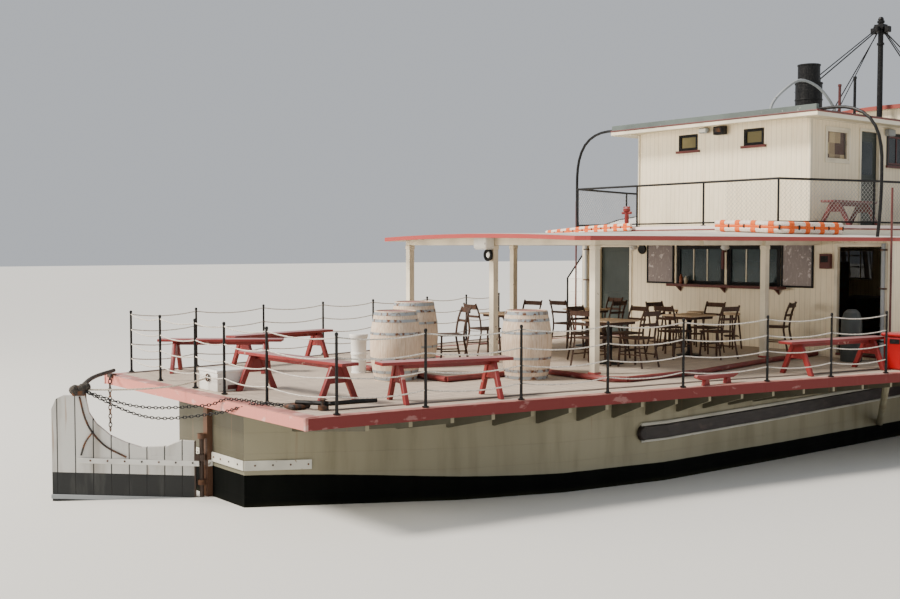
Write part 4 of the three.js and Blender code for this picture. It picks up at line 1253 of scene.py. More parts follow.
class STEAMER_OT_barrels(Maker, bpy.types.Operator):
    """Makes the oak barrels with their hoops"""
    bl_idname = "steamer.barrels"
    bl_label = "Barrels"

    def execute(self, context):
        bulge = context.scene.steamer_seats.barrel_bulge

        def radius(share):
            return bulge - 0.075 * (1 - math.sin(math.pi * share))
        for name in ("barrel_aft", "barrel_middle", "barrel_side"):
            low, high, foot = room(name)
            tall = high.z - low.z
            profile = [(0, 0.04), (radius(0.04) - 0.03, 0.04), (radius(0) - 0.022, 0.0), (radius(0), 0.0)]
            profile += [(radius(i / 14), tall * i / 14) for i in range(1, 14)]
            profile += [(radius(1), tall), (radius(1) - 0.022, tall), (radius(0.96) - 0.03, tall - 0.035),
                        (0, tall - 0.035)]
            cask = turned(profile, foot, steps=48)
            staves = cask.data.attributes.new("stave", "FLOAT", "FACE")
            spokes = [face.center - foot for face in cask.data.polygons]
            staves.data.foreach_set("value", [math.atan2(out.y, out.x) / math.tau + 0.5 for out in spokes])
            parts = coated("barrel_oak", cask)
            for start, end in ((0.015, 0.06), (0.115, 0.155), (0.30, 0.335), (0.665, 0.70), (0.845, 0.885),
                               (0.94, 0.985)):
                hoop = [(radius(share) + out, tall * share)
                        for share, out in ((start, -0.008), (start, 0.004), (end, 0.004), (end, -0.008))]
                parts += coated("galvanised", turned(hoop, foot, steps=48))
            rim = radius(1) - 0.026
            lid = [(0, tall - 0.036), (rim, tall - 0.036), (rim, tall - 0.012), (0, tall - 0.012)]
            parts += coated("barrel_top", turned(lid, foot, steps=48))
            ready(name + "_staves", parts, stands_for=(name,))
        return {"FINISHED"}


def chair(seat):
    """A plain side chair at the origin that faces +X."""
    parts = [block((-0.2, -0.205, seat - 0.03), (0.215, 0.205, seat), 0.012, 2),
             rod((0.183, -0.185, seat * 0.5), (0.183, 0.185, seat * 0.5), 0.011, sides=6)]
    for hand in (-1, 1):
        leg = [(0.2, hand * 0.2, 0), (0.185, hand * 0.185, seat * 0.6), (0.18, hand * 0.18, seat - 0.02)]
        back = [(-0.27, hand * 0.2, 0), (-0.2, hand * 0.19, seat * 0.7), (-0.19, hand * 0.19, seat),
                (-0.23, hand * 0.19, seat + 0.24), (-0.3, hand * 0.19, seat + 0.42)]
        parts += [tube(smooth(leg, 2), 0.018, 0), tube(smooth(back, 2), 0.019, 0),
                  rod((0.185, hand * 0.185, seat * 0.42), (-0.215, hand * 0.19, seat * 0.42), 0.011,
                      sides=6)]
    for height, lean, tall in ((seat + 0.33, 0.275, 0.075), (seat + 0.18, 0.225, 0.04)):
        rows = [[(-lean - 0.03 * math.cos(y * 7), y, height + z) for z in (0, tall)]
                for y in (-0.19, -0.1, 0, 0.1, 0.19)]
        parts.append(strip(rows, 0.018))
    return joined("chair", coated("chair_wood", *parts))


def stool(seat):
    """A bar stool at the origin."""
    top = turned([(0, seat - 0.035), (0.16, seat - 0.035), (0.17, seat - 0.02), (0.165, seat),
                  (0.12, seat + 0.005), (0, seat)])
    legs = [turned([(0.168, 0.24), (0.184, 0.24), (0.184, 0.262), (0.168, 0.262)], steps=4)]
    for side_x, side_y in ((1, 1), (-1, 1), (-1, -1), (1, -1)):
        foot = Vector((side_x, side_y, 0)).normalized()
        legs.append(rod(foot * 0.2, foot * 0.13 + up(seat - 0.03), 0.017, sides=8))
    return joined("stool", coated("pale_wood", top) + coated("chair_wood", *legs))


# Rows of station, y and turn in degrees
CHAIRS = (
    (6.5, -1.55, 5), (7.72, -1.2, 175), (7.05, -2.05, 92), (7.2, -0.78, -88), (6.5, 1.2, -8),
    (7.7, 1.45, 190), (8.72, -1.45, 0), (9.9, -1.2, 182), (9.25, -1.98, 85), (9.4, -0.66, -95),
    (8.72, 1.25, 4), (9.9, 1.4, 176), (11.1, -1.9, 110), (9.2, 0.66, 95), (5.05, 0.45, 160),
)
STOOLS = ((10.95, 0.55), (10.9, -0.15), (11.0, -0.95))
CHAIR_SIZE = 1.08


class STEAMER_OT_tables(Maker, bpy.types.Operator):
    """Makes the tables, chairs and stools under the awning"""
    bl_idname = "steamer.tables"
    bl_label = "Tables and chairs"

    def execute(self, context):
        props = context.scene.steamer_seats
        leg = [(0, 0), (0.235, 0), (0.23, 0.02), (0.06, 0.045), (0.035, 0.09), (0.033, 0.6), (0.07, 0.68),
               (0, 0.68)]
        for number in (1, 2, 3, 4):
            low, high, foot = room(f"table_{number}")
            under = high.z - 0.028
            parts = coated("pale_wood", block((low.x, low.y, under), high, 0.01, 2))
            parts += coated("chair_wood", block((low.x + 0.05, low.y + 0.05, high.z - 0.075),
                                                (high.x - 0.05, high.y - 0.05, under)))
            parts += coated("black_paint", turned(leg, foot))
            ready(f"table_{number}_top", parts, stands_for=(f"table_{number}",))
        places = [pose(over(s, y, PLATFORM_RISE), turn) @ Matrix.Scale(CHAIR_SIZE, 4)
                  for s, y, turn in CHAIRS]
        chairs = copies(chair(props.chair_seat), places)
        stools = copies(stool(props.stool_seat), [pose(over(s, y, PLATFORM_RISE)) for s, y in STOOLS])
        for kind, seats in (("chair", chairs), ("stool", stools)):
            for number, seat in enumerate(seats):
                ready(f"{kind}_{number + 1}", [seat])
        return {"FINISHED"}


def float_roll(path, radius, gap):
    """Two white bars and an orange core along a path, lashed with orange bands a gap apart."""
    lift = up(0.5 * radius)
    bars = [tube([point + lift * side for point in path], 0.5 * radius, 2) for side in (-1, 1)]
    bands = [tube(path, 0.5 * radius, 2)]
    ties = []
    spent = 0.5 * gap
    for a, b in zip(path, path[1:]):
        run = (b - a).normalized()
        while spent < (b - a).length:
            middle = a + run * spent
            for band in (middle - lift, middle + lift):
                bands.append(rod(band - run * 0.05, band + run * 0.05, 0.55 * radius, sides=12))
            tie = middle + run * 0.4 * gap
            ties.append(rod(tie, tie + run * 0.03, 0.56 * radius, sides=8))
            spent += gap
        spent -= (b - a).length
    return coated("float_white", *bars) + coated("float_orange", *bands) + coated("black_paint", *ties)


class STEAMER_OT_awning_trim(Maker, bpy.types.Operator):
    """Adds the lamps and the striped float rolls of the awning"""
    bl_idname = "steamer.awning_trim"
    bl_label = "Awning trim"

    def execute(self, context):
        lamp = over(5.525, 0.08, 2.1)
        horn = [(0, -0.02), (0.062, -0.02), (0.062, -0.05), (0.085, -0.06), (0.107, -0.05), (0.107, -0.02),
                (0.08, 0), (0.05, 0.03), (0, 0.03)]
        centre = [(0, -0.05), (0.04, -0.045), (0.058, -0.02), (0, -0.02)]
        parts = coated("white_trim", pad(lamp, (0.1, 0.17), 0.03, 0.14, -0.06, 3),
                       turned(centre, over(5.595, 0.01, 1.93), "X"))
        parts += coated("lamp_glass", pad(lamp, (0.08, 0.15), 0.01, -0.055, -0.075))
        parts += coated("black_paint", turned(horn, over(5.595, 0.01, 1.93), "X", 24))
        ready("awning_lamp", parts)

        side = ((10.01, -1.34, 4.965), (10.0, -2.0, 4.95), (10.04, -2.5, 4.925), (10.25, -2.76, 4.915),
                (10.8, -2.92, 4.905), (11.4, -3.06, 4.90))
        aft = ((10.03, 0.8, 4.975), (10.03, 1.6, 4.95), (10.02, 2.5, 4.90), (9.98, 3.2, 4.85))
        for name, places, radius, gap in (("side", side, 0.105, 0.34), ("aft", aft, 0.075, 0.27)):
            roll = float_roll(smooth([at(*place) for place in places]), radius, gap)
            ready("float_roll_" + name, roll)

        edge = ((20.3, 3.455), (14.5, 3.455), (12.41, 3.215), (10.115, 2.625))
        line = [at(s, -y, 4.90) for s, y in edge] + [at(s, y, 4.90) for s, y in reversed(edge)]
        ready("promenade_moulding", coated("maroon_trim", tube(line, 0.014)))

        parts = []
        for s, y in ((5.68, 0), (5.68, 2.4), (5.68, -2.4), (8.3, 2.4), (10.04, -2.4)):
            parts += coated("edge_red", pad(over(s, y, PLATFORM_RISE), (0.075, 0.075), 0.006, 0.03))
            parts += coated("cream_trim", pad(over(s, y, 2.02), (0.07, 0.07), 0.015, 0.08))
        ready("post_blocks", parts)
        return {"FINISHED"}


class STEAMER_OT_lower_house_trim(Maker, bpy.types.Operator):
    """Adds boards, serving windows, a shelf, a clock and door frames to the lower house"""
    bl_idname = "steamer.lower_house_trim"
    bl_label = "Lower house trim"

    def execute(self, context):
        wall = Wall("-X", HOUSE_AFT)
        parts = coated("wine_trim", wall.board((-2.65, -2.43), (1.66, 1.94), (0.0, 0.1), 0.01))
        parts += coated("black_paint", wall.board((-2.62, -2.46), (1.78, 1.9), (0.1, 0.105)))
        for span in ((-2.22, -1.58), (1.18, 1.86)):
            parts += coated("blank_notice", wall.board(span, (1.32, 2.18), (0.0, 0.02)))
            parts += wall.surround("black_paint", span, (1.32, 2.18), 0.035, (0.0, 0.035))
        profile = [(0, 0), (0.105, 0), (0.11, 0.02), (0.1, 0.045), (0.085, 0.04), (0, 0.038)]
        clock = placed(turned(profile, along="X", steps=28), pose(over(HOUSE_AFT, 2.04, 2.02), 180))
        ready("aft_wall_boards", parts + coated("black_paint", clock))

        parts = []
        for span in ((-0.11, 1.02), (-1.46, -0.30)):
            parts += wall.window(span, (1.33, 2.06), "black_paint", "black_paint", None, 3, "bar_glass",
                                 bars="cream_trim")
        parts += coated("wine_trim", wall.board((-1.66, 1.12), (1.245, 1.30), (0.0, 0.30), 0.01))
        for y in (-1.5, -0.2, 0.95):
            bracket = [over(HOUSE_AFT - out, y, rise)
                       for out, rise in ((0, 1.245), (0.16, 1.245), (0, 1.13))]
            parts += coated("wine_trim", slab(bracket, (0, 0.03, 0)))
        tap = over(HOUSE_AFT - 0.09, -0.2, 1.98)
        parts += coated("wine_trim", rod(tap - up(0.36), tap + up(0.02), 0.03),
                        rod(tap, tap + Vector((0.09, 0, 0)), 0.02))
        for y, tall, finish in ((0.85, 0.2, "jar_brown"), (0.72, 0.16, "jar_pale"),
                                (-1.3, 0.18, "jar_green")):
            jar = [(0, 0), (0.035, 0), (0.04, 0.02), (0.038, tall * 0.7), (0.018, tall * 0.85),
                   (0.018, tall), (0, tall)]
            parts += coated(finish, turned(jar, over(HOUSE_AFT - 0.13, y, 1.30), steps=12))
        ready("serving_windows", parts)

        parts = []
        for span in ((2.41, 3.32), (-3.70, -2.77)):
            parts += wall.surround("cream_trim", span, (0.09, 2.07), 0.07, (0.0, 0.022), sides=3)
            parts += coated("wine_trim", wall.board(span, (0.05, 0.095), (-0.05, 0.05)))
        for hand in (-1, 1):
            parts += coated("cream_trim", wall.board((hand * 3.78, hand * 3.87), (0.01, 2.12),
                                                     (-0.06, 0.025), 0.01))
            pipe = over(HOUSE_AFT - 0.05, hand * 3.71, 0.02)
            parts += coated("grey_paint", rod(pipe, pipe + up(2.11), 0.036, sides=12))
            clips = [wall.board((hand * 3.65, hand * 3.77), (z, z + 0.03), (0.0, 0.09))
                     for z in (0.35, 1.3, 2.0)]
            parts += coated("dark_iron", *clips)
            pole = over(11.62, hand * 3.93, 0.02)
            parts += coated("wine_trim", rod(pole, pole + up(3.1), 0.02, sides=8))
        shade = [(0, 0), (0.07, 0), (0.09, -0.05), (0.05, -0.09), (0, -0.1)]
        for y in (-0.78, 1.6):
            place = over(11.0, y, 2.1)
            parts += coated("white_trim", turned(shade, place), rod(place, place + up(0.2), 0.02))
        ready("aft_wall_frames", parts)

        parts = []
        for hand, facing in HANDS:
            for span in ((18.5, 19.1), (19.35, 19.95)):
                parts += Wall(facing, hand * HOUSE_SIDE).window(span, (1.25, 1.95), "wine_trim",
                                                                "cream_trim", "wine_trim", 2)
        front = Wall("+X", HOUSE_FRONT)
        for span in ((-2.6, -1.5), (1.5, 2.6)):
            parts += front.window(span, (1.2, 2.0), "wine_trim", "cream_trim", "wine_trim", 3)
        parts += front.surround("cream_trim", (-0.5, 0.5), (0.03, 2.0), 0.07, (0.0, 0.022), sides=3)
        ready("fore_windows", parts)
        return {"FINISHED"}


def door_dressing(name):
    """Panels and a pane on both faces of one closed leaf, along the stored place of the leaf."""
    low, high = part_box("door_" + name)
    flat = high.x - low.x < high.y - low.y
    wide = (low.y, high.y) if flat else (low.x + MID, high.x + MID)
    faces = (("-X", low.x + MID), ("+X", high.x + MID)) if flat else (("-Y", low.y), ("+Y", high.y))
    parts = []
    for face in faces:
        wall = Wall(*face)
        sill, middle, head = [low.z - DECK + share * (high.z - low.z) for share in (0, 0.48, 1)]
        for heights in ((sill + 0.12, middle - 0.05), (middle + 0.05, head - 0.12)):
            parts += wall.surround("door_green", (wide[0] + 0.1, wide[1] - 0.1), heights, 0.03,
                                   (0.0, 0.008), 0.003)
        if name != "lower_port":
            parts += coated("dark_glass", wall.board((wide[0] + 0.15, wide[1] - 0.15),
                                                     (middle + 0.12, head - 0.2), (0.0, 0.005), 0))
    ready("leaf_" + name, parts, name + "_leaf")


class STEAMER_OT_doors(Maker, bpy.types.Operator):
    """Dresses the six door leaves"""
    bl_idname = "steamer.doors"
    bl_label = "Doors"

    def execute(self, context):
        for name in ("lower_port", "cabin_port", "cabin_starboard", "wheelhouse_port",
                     "wheelhouse_starboard"):
            door_dressing(name)
        parts = []
        for facing, face in (("-Y", -0.02), ("+Y", 0.02)):
            wall = Wall(facing, face)
            parts += wall.surround("olive_paint", (0.16, 0.84), (0.12, 0.92), 0.03, (0.0, 0.008), 0.003)
            parts += wall.surround("olive_paint", (0.30, 0.70), (1.12, 1.80), 0.04, (0.0, 0.012), 0.003)
            parts += coated("door_glass", wall.board((0.30, 0.70), (1.12, 1.80), (0.0, 0.004), 0))
        place = pose(over(11.873, -3.73, 0.03), 25) @ pose((MID, 0, -DECK))
        open_leaf = [placed(part, place) for part in parts]
        ready("leaf_lower_starboard", open_leaf, "lower_starboard_leaf")
        return {"FINISHED"}


class STEAMER_OT_cabin_trim(Maker, bpy.types.Operator):
    """Adds windows, lamps and mouldings to the upper cabin"""
    bl_idname = "steamer.cabin_trim"
    bl_label = "Cabin trim"

    def execute(self, context):
        wall = Wall("-X", HOUSE_AFT)
        parts = []
        for span in ((0.57, 1.02), (-1.07, -0.64)):
            parts += wall.window(span, (4.11, 4.40), "black_paint", "black_paint", "wine_trim", 1,
                                 "amber_glass", 0.022)
        curtain = []
        for hand, facing in HANDS:
            side = Wall(facing, hand * CABIN_SIDE)
            parts += side.window((12.31, 13.05), (3.76, 4.34), "cream_trim", "cream_trim", None, 1,
                                 "pale_glass")
            curtain.append(side.board((12.33, 13.03), (3.78, 4.32), (-0.075, -0.068), 0))
            for span in ((14.5, 15.2), (15.9, 16.6)):
                parts += side.window(span, (3.76, 4.34), "black_paint", "wine_trim", "wine_trim", 2)
            parts += side.surround("cream_trim", (13.5, 14.15), (PROMENADE - DECK + 0.02, 4.38), 0.06,
                                   (0.0, 0.02), sides=3)
            parts += coated("grey_paint", side.board((14.36, 14.60), (4.33, 4.47), (0.0, 0.12), 0.02))
        ready("cabin_windows", parts)
        ready("cabin_curtains", coated("curtain_cloth", *curtain))

        parts = []
        for finish, span, heights, depth, edge in (
                ("galvanised", (0.21, 0.43), (4.41, 4.52), (0.03, 0.14), 0.02),
                ("white_trim", (0.24, 0.40), (4.43, 4.50), (0.14, 0.15), 0.003),
                ("black_paint", (-0.22, 0.04), (4.35, 4.52), (0.02, 0.16), 0.012),
                ("dark_iron", (-0.17, -0.01), (4.40, 4.49), (0.16, 0.172), 0.004)):
            parts += coated(finish, wall.board(span, heights, depth, edge))
        ready("cabin_lamps", parts)

        bead = rod(over(11.335, -ROOF_SIDE, 4.597), over(11.335, ROOF_SIDE, 4.597), 0.02, sides=8)
        sides = mirrored([tube([over(11.35, -ROOF_SIDE, 4.6), over(17.6, -ROOF_SIDE, 4.6)], 0.016)])
        parts = coated("wine_trim", bead, *sides)
        parts += coated("cream_trim", block(over(11.33, -ROOF_SIDE, 4.51), over(11.352, ROOF_SIDE, 4.588)),
                        *mirrored([block(over(11.5, -2.22, 4.5), over(17.5, -2.152, 4.585), 0.01)]))
        for hand in (-1, 1):
            corner = at(HOUSE_AFT + 0.005, hand * CABIN_SIDE, PROMENADE)
            parts += coated("cream_trim", pad(corner, (0.035, 0.02), 0.006, 2.1))
        ready("cabin_mouldings", parts)
        board = block(over(11.33, -2.56, 4.605), over(11.415, 2.56, 4.715), 0.004)
        ready("roof_board_face", coated("board_green", board), stands_for=("roof_board",))
        return {"FINISHED"}


class STEAMER_OT_funnel_gear(Maker, bpy.types.Operator):
    """Adds the funnel's bands and pipes and the fittings of the mast"""
    bl_idname = "steamer.funnel_gear"
    bl_label = "Funnel and mast gear"

    def execute(self, context):
        parts = [turned([(0.30, 0), (0.44, -0.03), (0.42, 0.03), (0.33, 0.07), (0.30, 0.10)],
                        over(FUNNEL, 0, 4.675), steps=32)]
        for rise, radius in ((5.66, 0.292), (5.30, 0.292), (4.78, 0.30), (6.06, 0.242)):
            band = [(radius + out, z)
                    for out, z in ((-0.01, 0), (0.008, 0), (0.012, 0.015), (0.008, 0.03), (-0.01, 0.03))]
            parts.append(turned(band, over(FUNNEL, 0, rise), steps=32))
        for angle in (2.2, 2.9, 3.6, 4.3, 5.0):
            out = 0.292 * Vector((math.cos(angle), math.sin(angle), 0))
            parts += bolts([over(FUNNEL, 0, 5.5) + out], out, 0.012)
        parts = coated("black_paint", *parts)
        arch = ((12.64, 4.65), (12.72, 5.0), (13.14, 5.33), (13.72, 5.58), (14.42, 5.46), (14.98, 5.06),
                (15.14, 4.65))
        feed = ((14.05, 0.35, 4.65), (14.3, 0.34, 4.95), (14.62, 0.2, 5.1))
        parts += coated("grey_paint", tube(smooth([over(s, -0.6, z) for s, z in arch], 5), 0.03, 2),
                        tube(smooth([over(*place) for place in feed], 5), 0.025, 2))
        for station, y, top, finish in ((FUNNEL, -0.77, 5.55, "wine_trim"),
                                        (14.95, -1.1, 5.68, "black_paint")):
            head = over(station, y, top)
            parts += coated(finish, rod(over(station, y, 4.64), head, 0.03),
                            rod(head - up(0.02), head + up(0.03), 0.038))
        ready("funnel_pipes", parts)

        head = over(MAST, 0, 7.26)
        parts = [turned([(0.062, 0), (0.085, 0), (0.085, 0.05), (0.062, 0.05)], head + up(z), steps=16)
                 for z in (0.10, -0.12, -0.42)]
        parts.append(turned([(0, 0), (0.05, 0.0), (0.07, 0.03), (0.05, 0.08), (0, 0.1)], head + up(0.15),
                            steps=16))
        parts += [pad(head + Vector((dx, dy, 0)), (0.06, 0.06), 0.012, 0.0, -0.14)
                  for dx, dy in ((-0.18, 0), (0.18, 0), (0, -0.18), (0, 0.18))]
        parts.append(tube([head + Vector((-0.1, 0.06, -0.05)), over(15.22, 0.06, 5.82)], 0.013))
        for side in (-1, 1):
            parts.append(tube([head + Vector((0, 0.06 * side, -0.05)),
                               at(18.35, side * 3.2, PROMENADE + 0.03)], 0.011))
            for station, y in ((MAST, 3.23), (18.35, 3.2)):
                plate = [at(station, side * (y - lean), PROMENADE + rise)
                         for lean, rise in ((0, 0), (0.05, 0.24))]
                parts.append(rod(*plate, 0.024, sides=8))
        parts.append(ring(0.11, 0.015, (20, 6), over(15.2, 0, 5.86), (math.pi / 2, 0, 0)))
        parts.append(block(at(32.85, -0.06, 3.15), at(33.15, 0.06, 3.34), 0.015))
        ready("mast_fittings", coated("black_paint", *parts))
        return {"FINISHED"}


class STEAMER_OT_wheelhouse_trim(Maker, bpy.types.Operator):
    """Adds windows to the wheelhouse and makes its steering wheel"""
    bl_idname = "steamer.wheelhouse_trim"
    bl_label = "Wheelhouse trim"

    def execute(self, context):
        low, high = 3.9, 4.85
        front, aft = Wall("+X", BRIDGE_FRONT), Wall("-X", BRIDGE_AFT)
        parts = []
        for hand, facing in HANDS:
            side = Wall(facing, hand * BRIDGE_SIDE)
            parts += side.window((19.15, 19.95), (low, high), "wine_trim", "cream_trim", "wine_trim", 2,
                                 "clear_pane")
            parts += side.surround("cream_trim", (18.3, 18.95), (PROMENADE - DECK + 0.02, 4.4), 0.055,
                                   (0.0, 0.02), sides=3)
        for span in ((-1.2, -0.45), (-0.375, 0.375), (0.45, 1.2)):
            for wall, foot in ((front, low), (aft, low + 0.3)):
                parts += wall.window(span, (foot, high), "wine_trim", "cream_trim", None, 1, "clear_pane")
        edge = tube([over(18.02, -1.805, 5.35), over(20.5, -1.805, 5.35)], 0.018)
        parts += coated("wine_trim", front.board((-1.35, 1.35), (low - 0.09, low - 0.06), (0.0, 0.05)),
                        *mirrored([edge]))
        ready("wheelhouse_windows", parts)

        hub = at(19.7, 0, PROMENADE + 1.15)
        rim = [(0.565, -0.028), (0.615, -0.028), (0.622, 0), (0.615, 0.028), (0.565, 0.028), (0.558, 0)]
        inner = [(0.43, -0.018), (0.46, -0.018), (0.46, 0.018), (0.43, 0.018)]
        boss = [(0, -0.06), (0.05, -0.06), (0.09, -0.045), (0.09, 0.045), (0.05, 0.06), (0, 0.06)]
        spoke = [(0, 0.07), (0.022, 0.07), (0.016, 0.12), (0.024, 0.2), (0.018, 0.3), (0.023, 0.4),
                 (0.018, 0.5), (0.02, 0.6), (0.013, 0.63), (0.021, 0.69), (0.017, 0.75), (0, 0.77)]
        spokes = copies(turned(spoke, steps=12), [pose(hub, 45 * number, "X") for number in range(8)])
        parts = coated("chair_wood", turned(rim, hub, "X", 48), turned(inner, hub, "X", 40), *spokes)
        parts += coated("hub_brass", turned(boss, hub, "X", 24))
        ready("turned_wheel", parts, "steering", ("steering_wheel",))
        return {"FINISHED"}


# Half of a paddle box from its foot to its top: rows of distance from the shaft and height
BOX_SIDE = ((2.85, 2.53), (2.85, 3.8), (1.65, 5.1), (1.04, 5.25), (0.43, 5.335), (0, 5.36))


def box_edge(y):
    """Points along the rim of a paddle box, from its forward foot over its top."""
    return [at(SHAFT + x, y, z) for x, z in BOX_SIDE] + [at(SHAFT - x, y, z) for x, z in BOX_SIDE[-2::-1]]


def arc(radius, y, start, end, steps):
    return [wheel_point(radius, start + (end - start) * step / steps, y) for step in range(steps + 1)]


def fan_vent(face, hand, first, last, sectors=11):
    """Openings round the shaft, drawn as near-black slabs of painted shade for the dark inside of the box,
    with cream slats across them and a spoke between two of them.
    """
    width = (last - first) / sectors
    gap = math.radians(2.2)
    holes, slats = [], []
    for number in range(sectors):
        start, end = first + number * width + gap, first + (number + 1) * width - gap
        # Each opening is a near-black slab: painted shade for the inside of the box, not a hole.
        holes.append(slab(arc(2.24, face, start, end, 6) + arc(1.1, face, end, start, 3),
                          (0, 0.006 * hand, 0)))
        for share in (0.2, 0.4, 0.6, 0.8):
            slats.append(tube(arc(1.1 + 1.14 * share, face + 0.008 * hand, start, end, 4), 0.02, 0))
        if number < sectors - 1:
            slats.append(tube([wheel_point(r, end + 0.038, face + 0.014 * hand) for r in (1.0, 2.36)],
                              0.03))
    return coated("vent_dark", *holes) + coated("cream_trim", *slats)


class STEAMER_OT_paddle_boxes(Maker, bpy.types.Operator):
    """Adds fan vents, rims and boards to the paddle boxes, and bolts to the wheels"""
    bl_idname = "steamer.paddle_boxes"
    bl_label = "Paddle boxes"

    def execute(self, context):
        first, last = math.radians(8), math.radians(172)
        for name, hand in (("starboard", -1), ("port", 1)):
            face = hand * BOX_FACE
            out = Vector((0, 0.02 * hand, 0))
            parts = fan_vent(face, hand, first, last)
            parts += coated("black_paint", *(tube(box_edge(rim), 0.028) for rim in (face, hand * 3.54)))
            for outer, inner, steps in ((2.44, 2.34, 36), (0.95, 0.83, 24)):
                band = arc(outer, face, first, last, steps) + arc(inner, face, last, first, steps)
                parts += coated("edge_red", slab(band, out, 0.004))
            low, high = sorted((face, face + 0.03 * hand))
            parts += coated("edge_red", block(over(SHAFT - 2.82, low, 0.02), over(SHAFT + 2.82, high, 0.2),
                                              0.006))
            parts += coated("cream_trim", slab(arc(0.72, face, first, last, 24), out * 0.7, 0.004))
            laps = []
            inner, outer = box_edge(hand * 3.57), box_edge(hand * 5.31)
            for a, b, c, d in zip(inner, inner[1:], outer, outer[1:]):
                count = round((b - a).length / 0.31)
                laps += [rod(a.lerp(b, number / count), c.lerp(d, number / count), 0.010, sides=4)
                         for number in range(1, count + 1)]
            ready(f"paddle_box_trim_{name}", parts + coated("white_trim", *laps))

            heads = []
            for side in (-1, 1):
                y = hand * WHEEL_MIDDLE + 0.592 * side
                places = [wheel_point(radius, math.tau * number / 12, y)
                          for number in range(12) for radius in (0.5, 1.94)]
                heads += bolts(places, (0, side, 0), 0.022)
            ready(f"wheel_bolts_{name}", coated("dark_iron", *heads), "paddle_wheels")
        return {"FINISHED"}


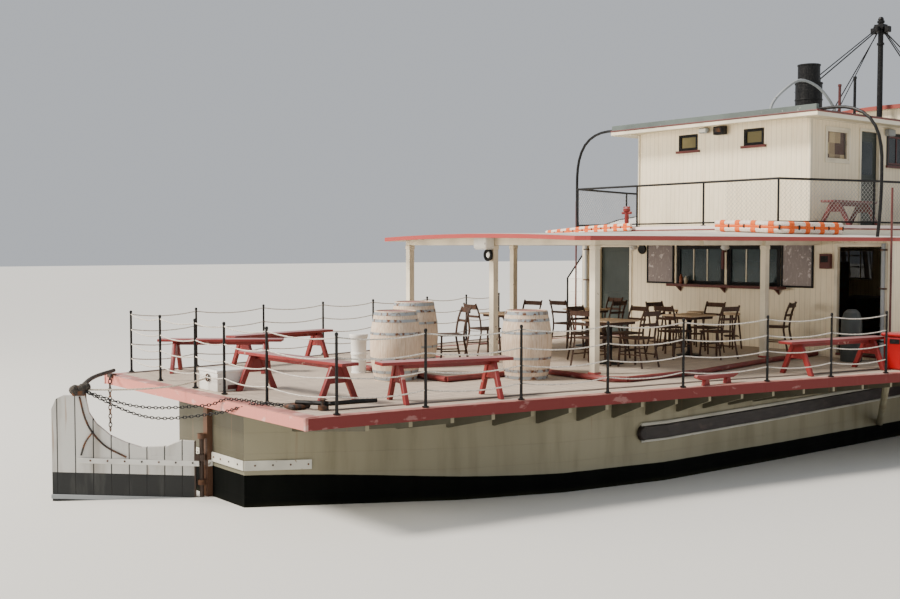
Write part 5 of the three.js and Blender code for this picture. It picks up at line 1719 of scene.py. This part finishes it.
class STEAMER_OT_foredeck(Maker, bpy.types.Operator):
    """Makes the hatch battens, windlass, bitts and ladder of the foredeck"""
    bl_idname = "steamer.foredeck"
    bl_label = "Foredeck"

    def execute(self, context):
        low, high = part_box("hatch_cover")
        count = 16
        step = (high.x - low.x) / count
        parts = [block((low.x + number * step + 0.006, low.y, low.z),
                       (low.x + (number + 1) * step - 0.006, high.y, high.z), 0.008)
                 for number in range(count)]
        for y in (-1.0, 0, 1.0):
            parts.append(block((low.x + 0.02, y - 0.05, high.z - 0.004),
                               (high.x - 0.02, y + 0.05, high.z + 0.028), 0.006))
        ready("hatch_boards", coated("weathered_wood", *parts), stands_for=("hatch_cover",))

        low, high, foot = room("windlass")
        foot.z = deck_top(29.3) + CLEARANCE
        axle = foot + up(0.48)
        wood, metal = [pad(foot, (0.06, 0.43), 0.01, 0.7, 0.6)], []
        wheel = [(0.02, -0.05), (0.26, -0.05), (0.28, -0.02), (0.28, 0.02), (0.26, 0.05), (0.02, 0.05)]
        for hand in (-1, 1):
            cheek = [foot + Vector((x, hand * 0.5 - 0.07, z))
                     for x, z in ((-0.17, 0), (0.17, 0), (0.1, 0.72), (-0.1, 0.72))]
            wood.append(slab(cheek, (0, 0.14, 0), 0.012))
            metal.append(turned(wheel, axle + Vector((0, hand * 0.34, 0)), "Y", 28))
        half = [(0.17, 0.76), (0.17, 0.73), (0.12, 0.68), (0.13, 0.58), (0.17, 0.56), (0.17, 0.30),
                (0.14, 0.28)]
        barrel = [(0, -0.76), *((radius, -y) for radius, y in half), *reversed(half), (0, 0.76)]
        metal.append(turned(barrel, axle, "Y", 24))
        ready("windlass_gear", coated("wine_trim", *wood) + coated("dark_iron", *metal),
              stands_for=("windlass",))

        parts = []
        post = [(0, 0), (0.075, 0), (0.07, 0.06), (0.06, 0.08), (0.06, 0.3), (0.082, 0.34), (0.075, 0.37),
                (0, 0.38)]
        for station, y in ((31.2, 0.75), (27.4, 3.2), (19.2, 4.9), (11.3, 4.85), (31.2, -1.95),
                           (27.4, -3.2), (19.2, -4.9)):
            for shift in (-0.17, 0.17):
                parts.append(turned(post, at(station + shift, y, deck_top(station + shift) + CLEARANCE),
                                    steps=16))
            parts.append(pad(at(station, y, deck_top(station) + CLEARANCE), (0.28, 0.1), 0.008, 0.025))
        ready("bitts", coated("black_paint", *parts))

        foot, head = DECK + CLEARANCE, PROMENADE - 0.02

        def leaning(forward, y, z):
            return at(20.4903 + 0.196 * (4.842 - z) + forward, y, z)

        def rail(forward, y, base, rise):
            return leaning(forward, y, base) + up(rise)
        parts = [block(leaning(-0.11, 1.98, z) - up(0.018), leaning(0.11, 2.67, z) + up(0.018), 0.006)
                 for z in (foot + number * (head - foot) / 8 for number in range(1, 8))]
        for y in (2.0, 2.65):
            cheek = [leaning(*row) for row in ((-0.09, y - 0.02, foot), (0.09, y - 0.02, foot),
                                               (0.09, y - 0.02, head), (-0.09, y - 0.02, head))]
            hoop = [rail(0.14, y, foot, 0.5), rail(0.16, y, head, 0.35), rail(-0.1, y, head, 0.85),
                    rail(-0.22, y, head, 0.5), rail(-0.2, y, head, 0.02)]
            parts += [slab(cheek, (0, 0.04, 0), 0.005), tube(smooth(hoop), 0.02)]
        ready("ladder_treads", coated("weathered_wood", *parts), stands_for=("companion_ladder",))
        return {"FINISHED"}


class STEAMER_PT_panel(bpy.types.Panel):
    """Lists the pieces of the steamer in the sidebar"""
    bl_label = "Steamer"
    bl_idname = "STEAMER_PT_panel"
    bl_space_type = "VIEW_3D"
    bl_region_type = "UI"
    bl_category = "Steamer"

    def draw(self, context):
        layout = self.layout
        for group in (context.scene.steamer_stage, context.scene.steamer_rails,
                      context.scene.steamer_seats):
            for name in group.__annotations__:
                layout.prop(group, name)
        for maker in MAKERS:
            layout.operator(maker.bl_idname)


MAKERS = (
    STEAMER_OT_stage, STEAMER_OT_frame_coats, STEAMER_OT_hull_trim, STEAMER_OT_rudder_gear,
    STEAMER_OT_deck_trim, STEAMER_OT_deck_gear, STEAMER_OT_rails, STEAMER_OT_benches, STEAMER_OT_barrels,
    STEAMER_OT_tables,
    STEAMER_OT_awning_trim, STEAMER_OT_lower_house_trim, STEAMER_OT_doors, STEAMER_OT_cabin_trim,
    STEAMER_OT_funnel_gear, STEAMER_OT_wheelhouse_trim, STEAMER_OT_paddle_boxes, STEAMER_OT_foredeck,
)
GROUPS = {"steamer_stage": StageProps, "steamer_rails": RailProps, "steamer_seats": SeatProps}


def register():
    for kind in (*GROUPS.values(), *MAKERS, STEAMER_PT_panel):
        bpy.utils.register_class(kind)
    for name, kind in GROUPS.items():
        setattr(bpy.types.Scene, name, bpy.props.PointerProperty(type=kind))


def unregister():
    for name in GROUPS:
        delattr(bpy.types.Scene, name)
    for kind in reversed((*GROUPS.values(), *MAKERS, STEAMER_PT_panel)):
        bpy.utils.unregister_class(kind)


def main():
    register()
    for maker in MAKERS:
        getattr(bpy.ops.steamer, maker.bl_idname.split(".")[1])()
    clear()


if __name__ == "__main__":
    main()
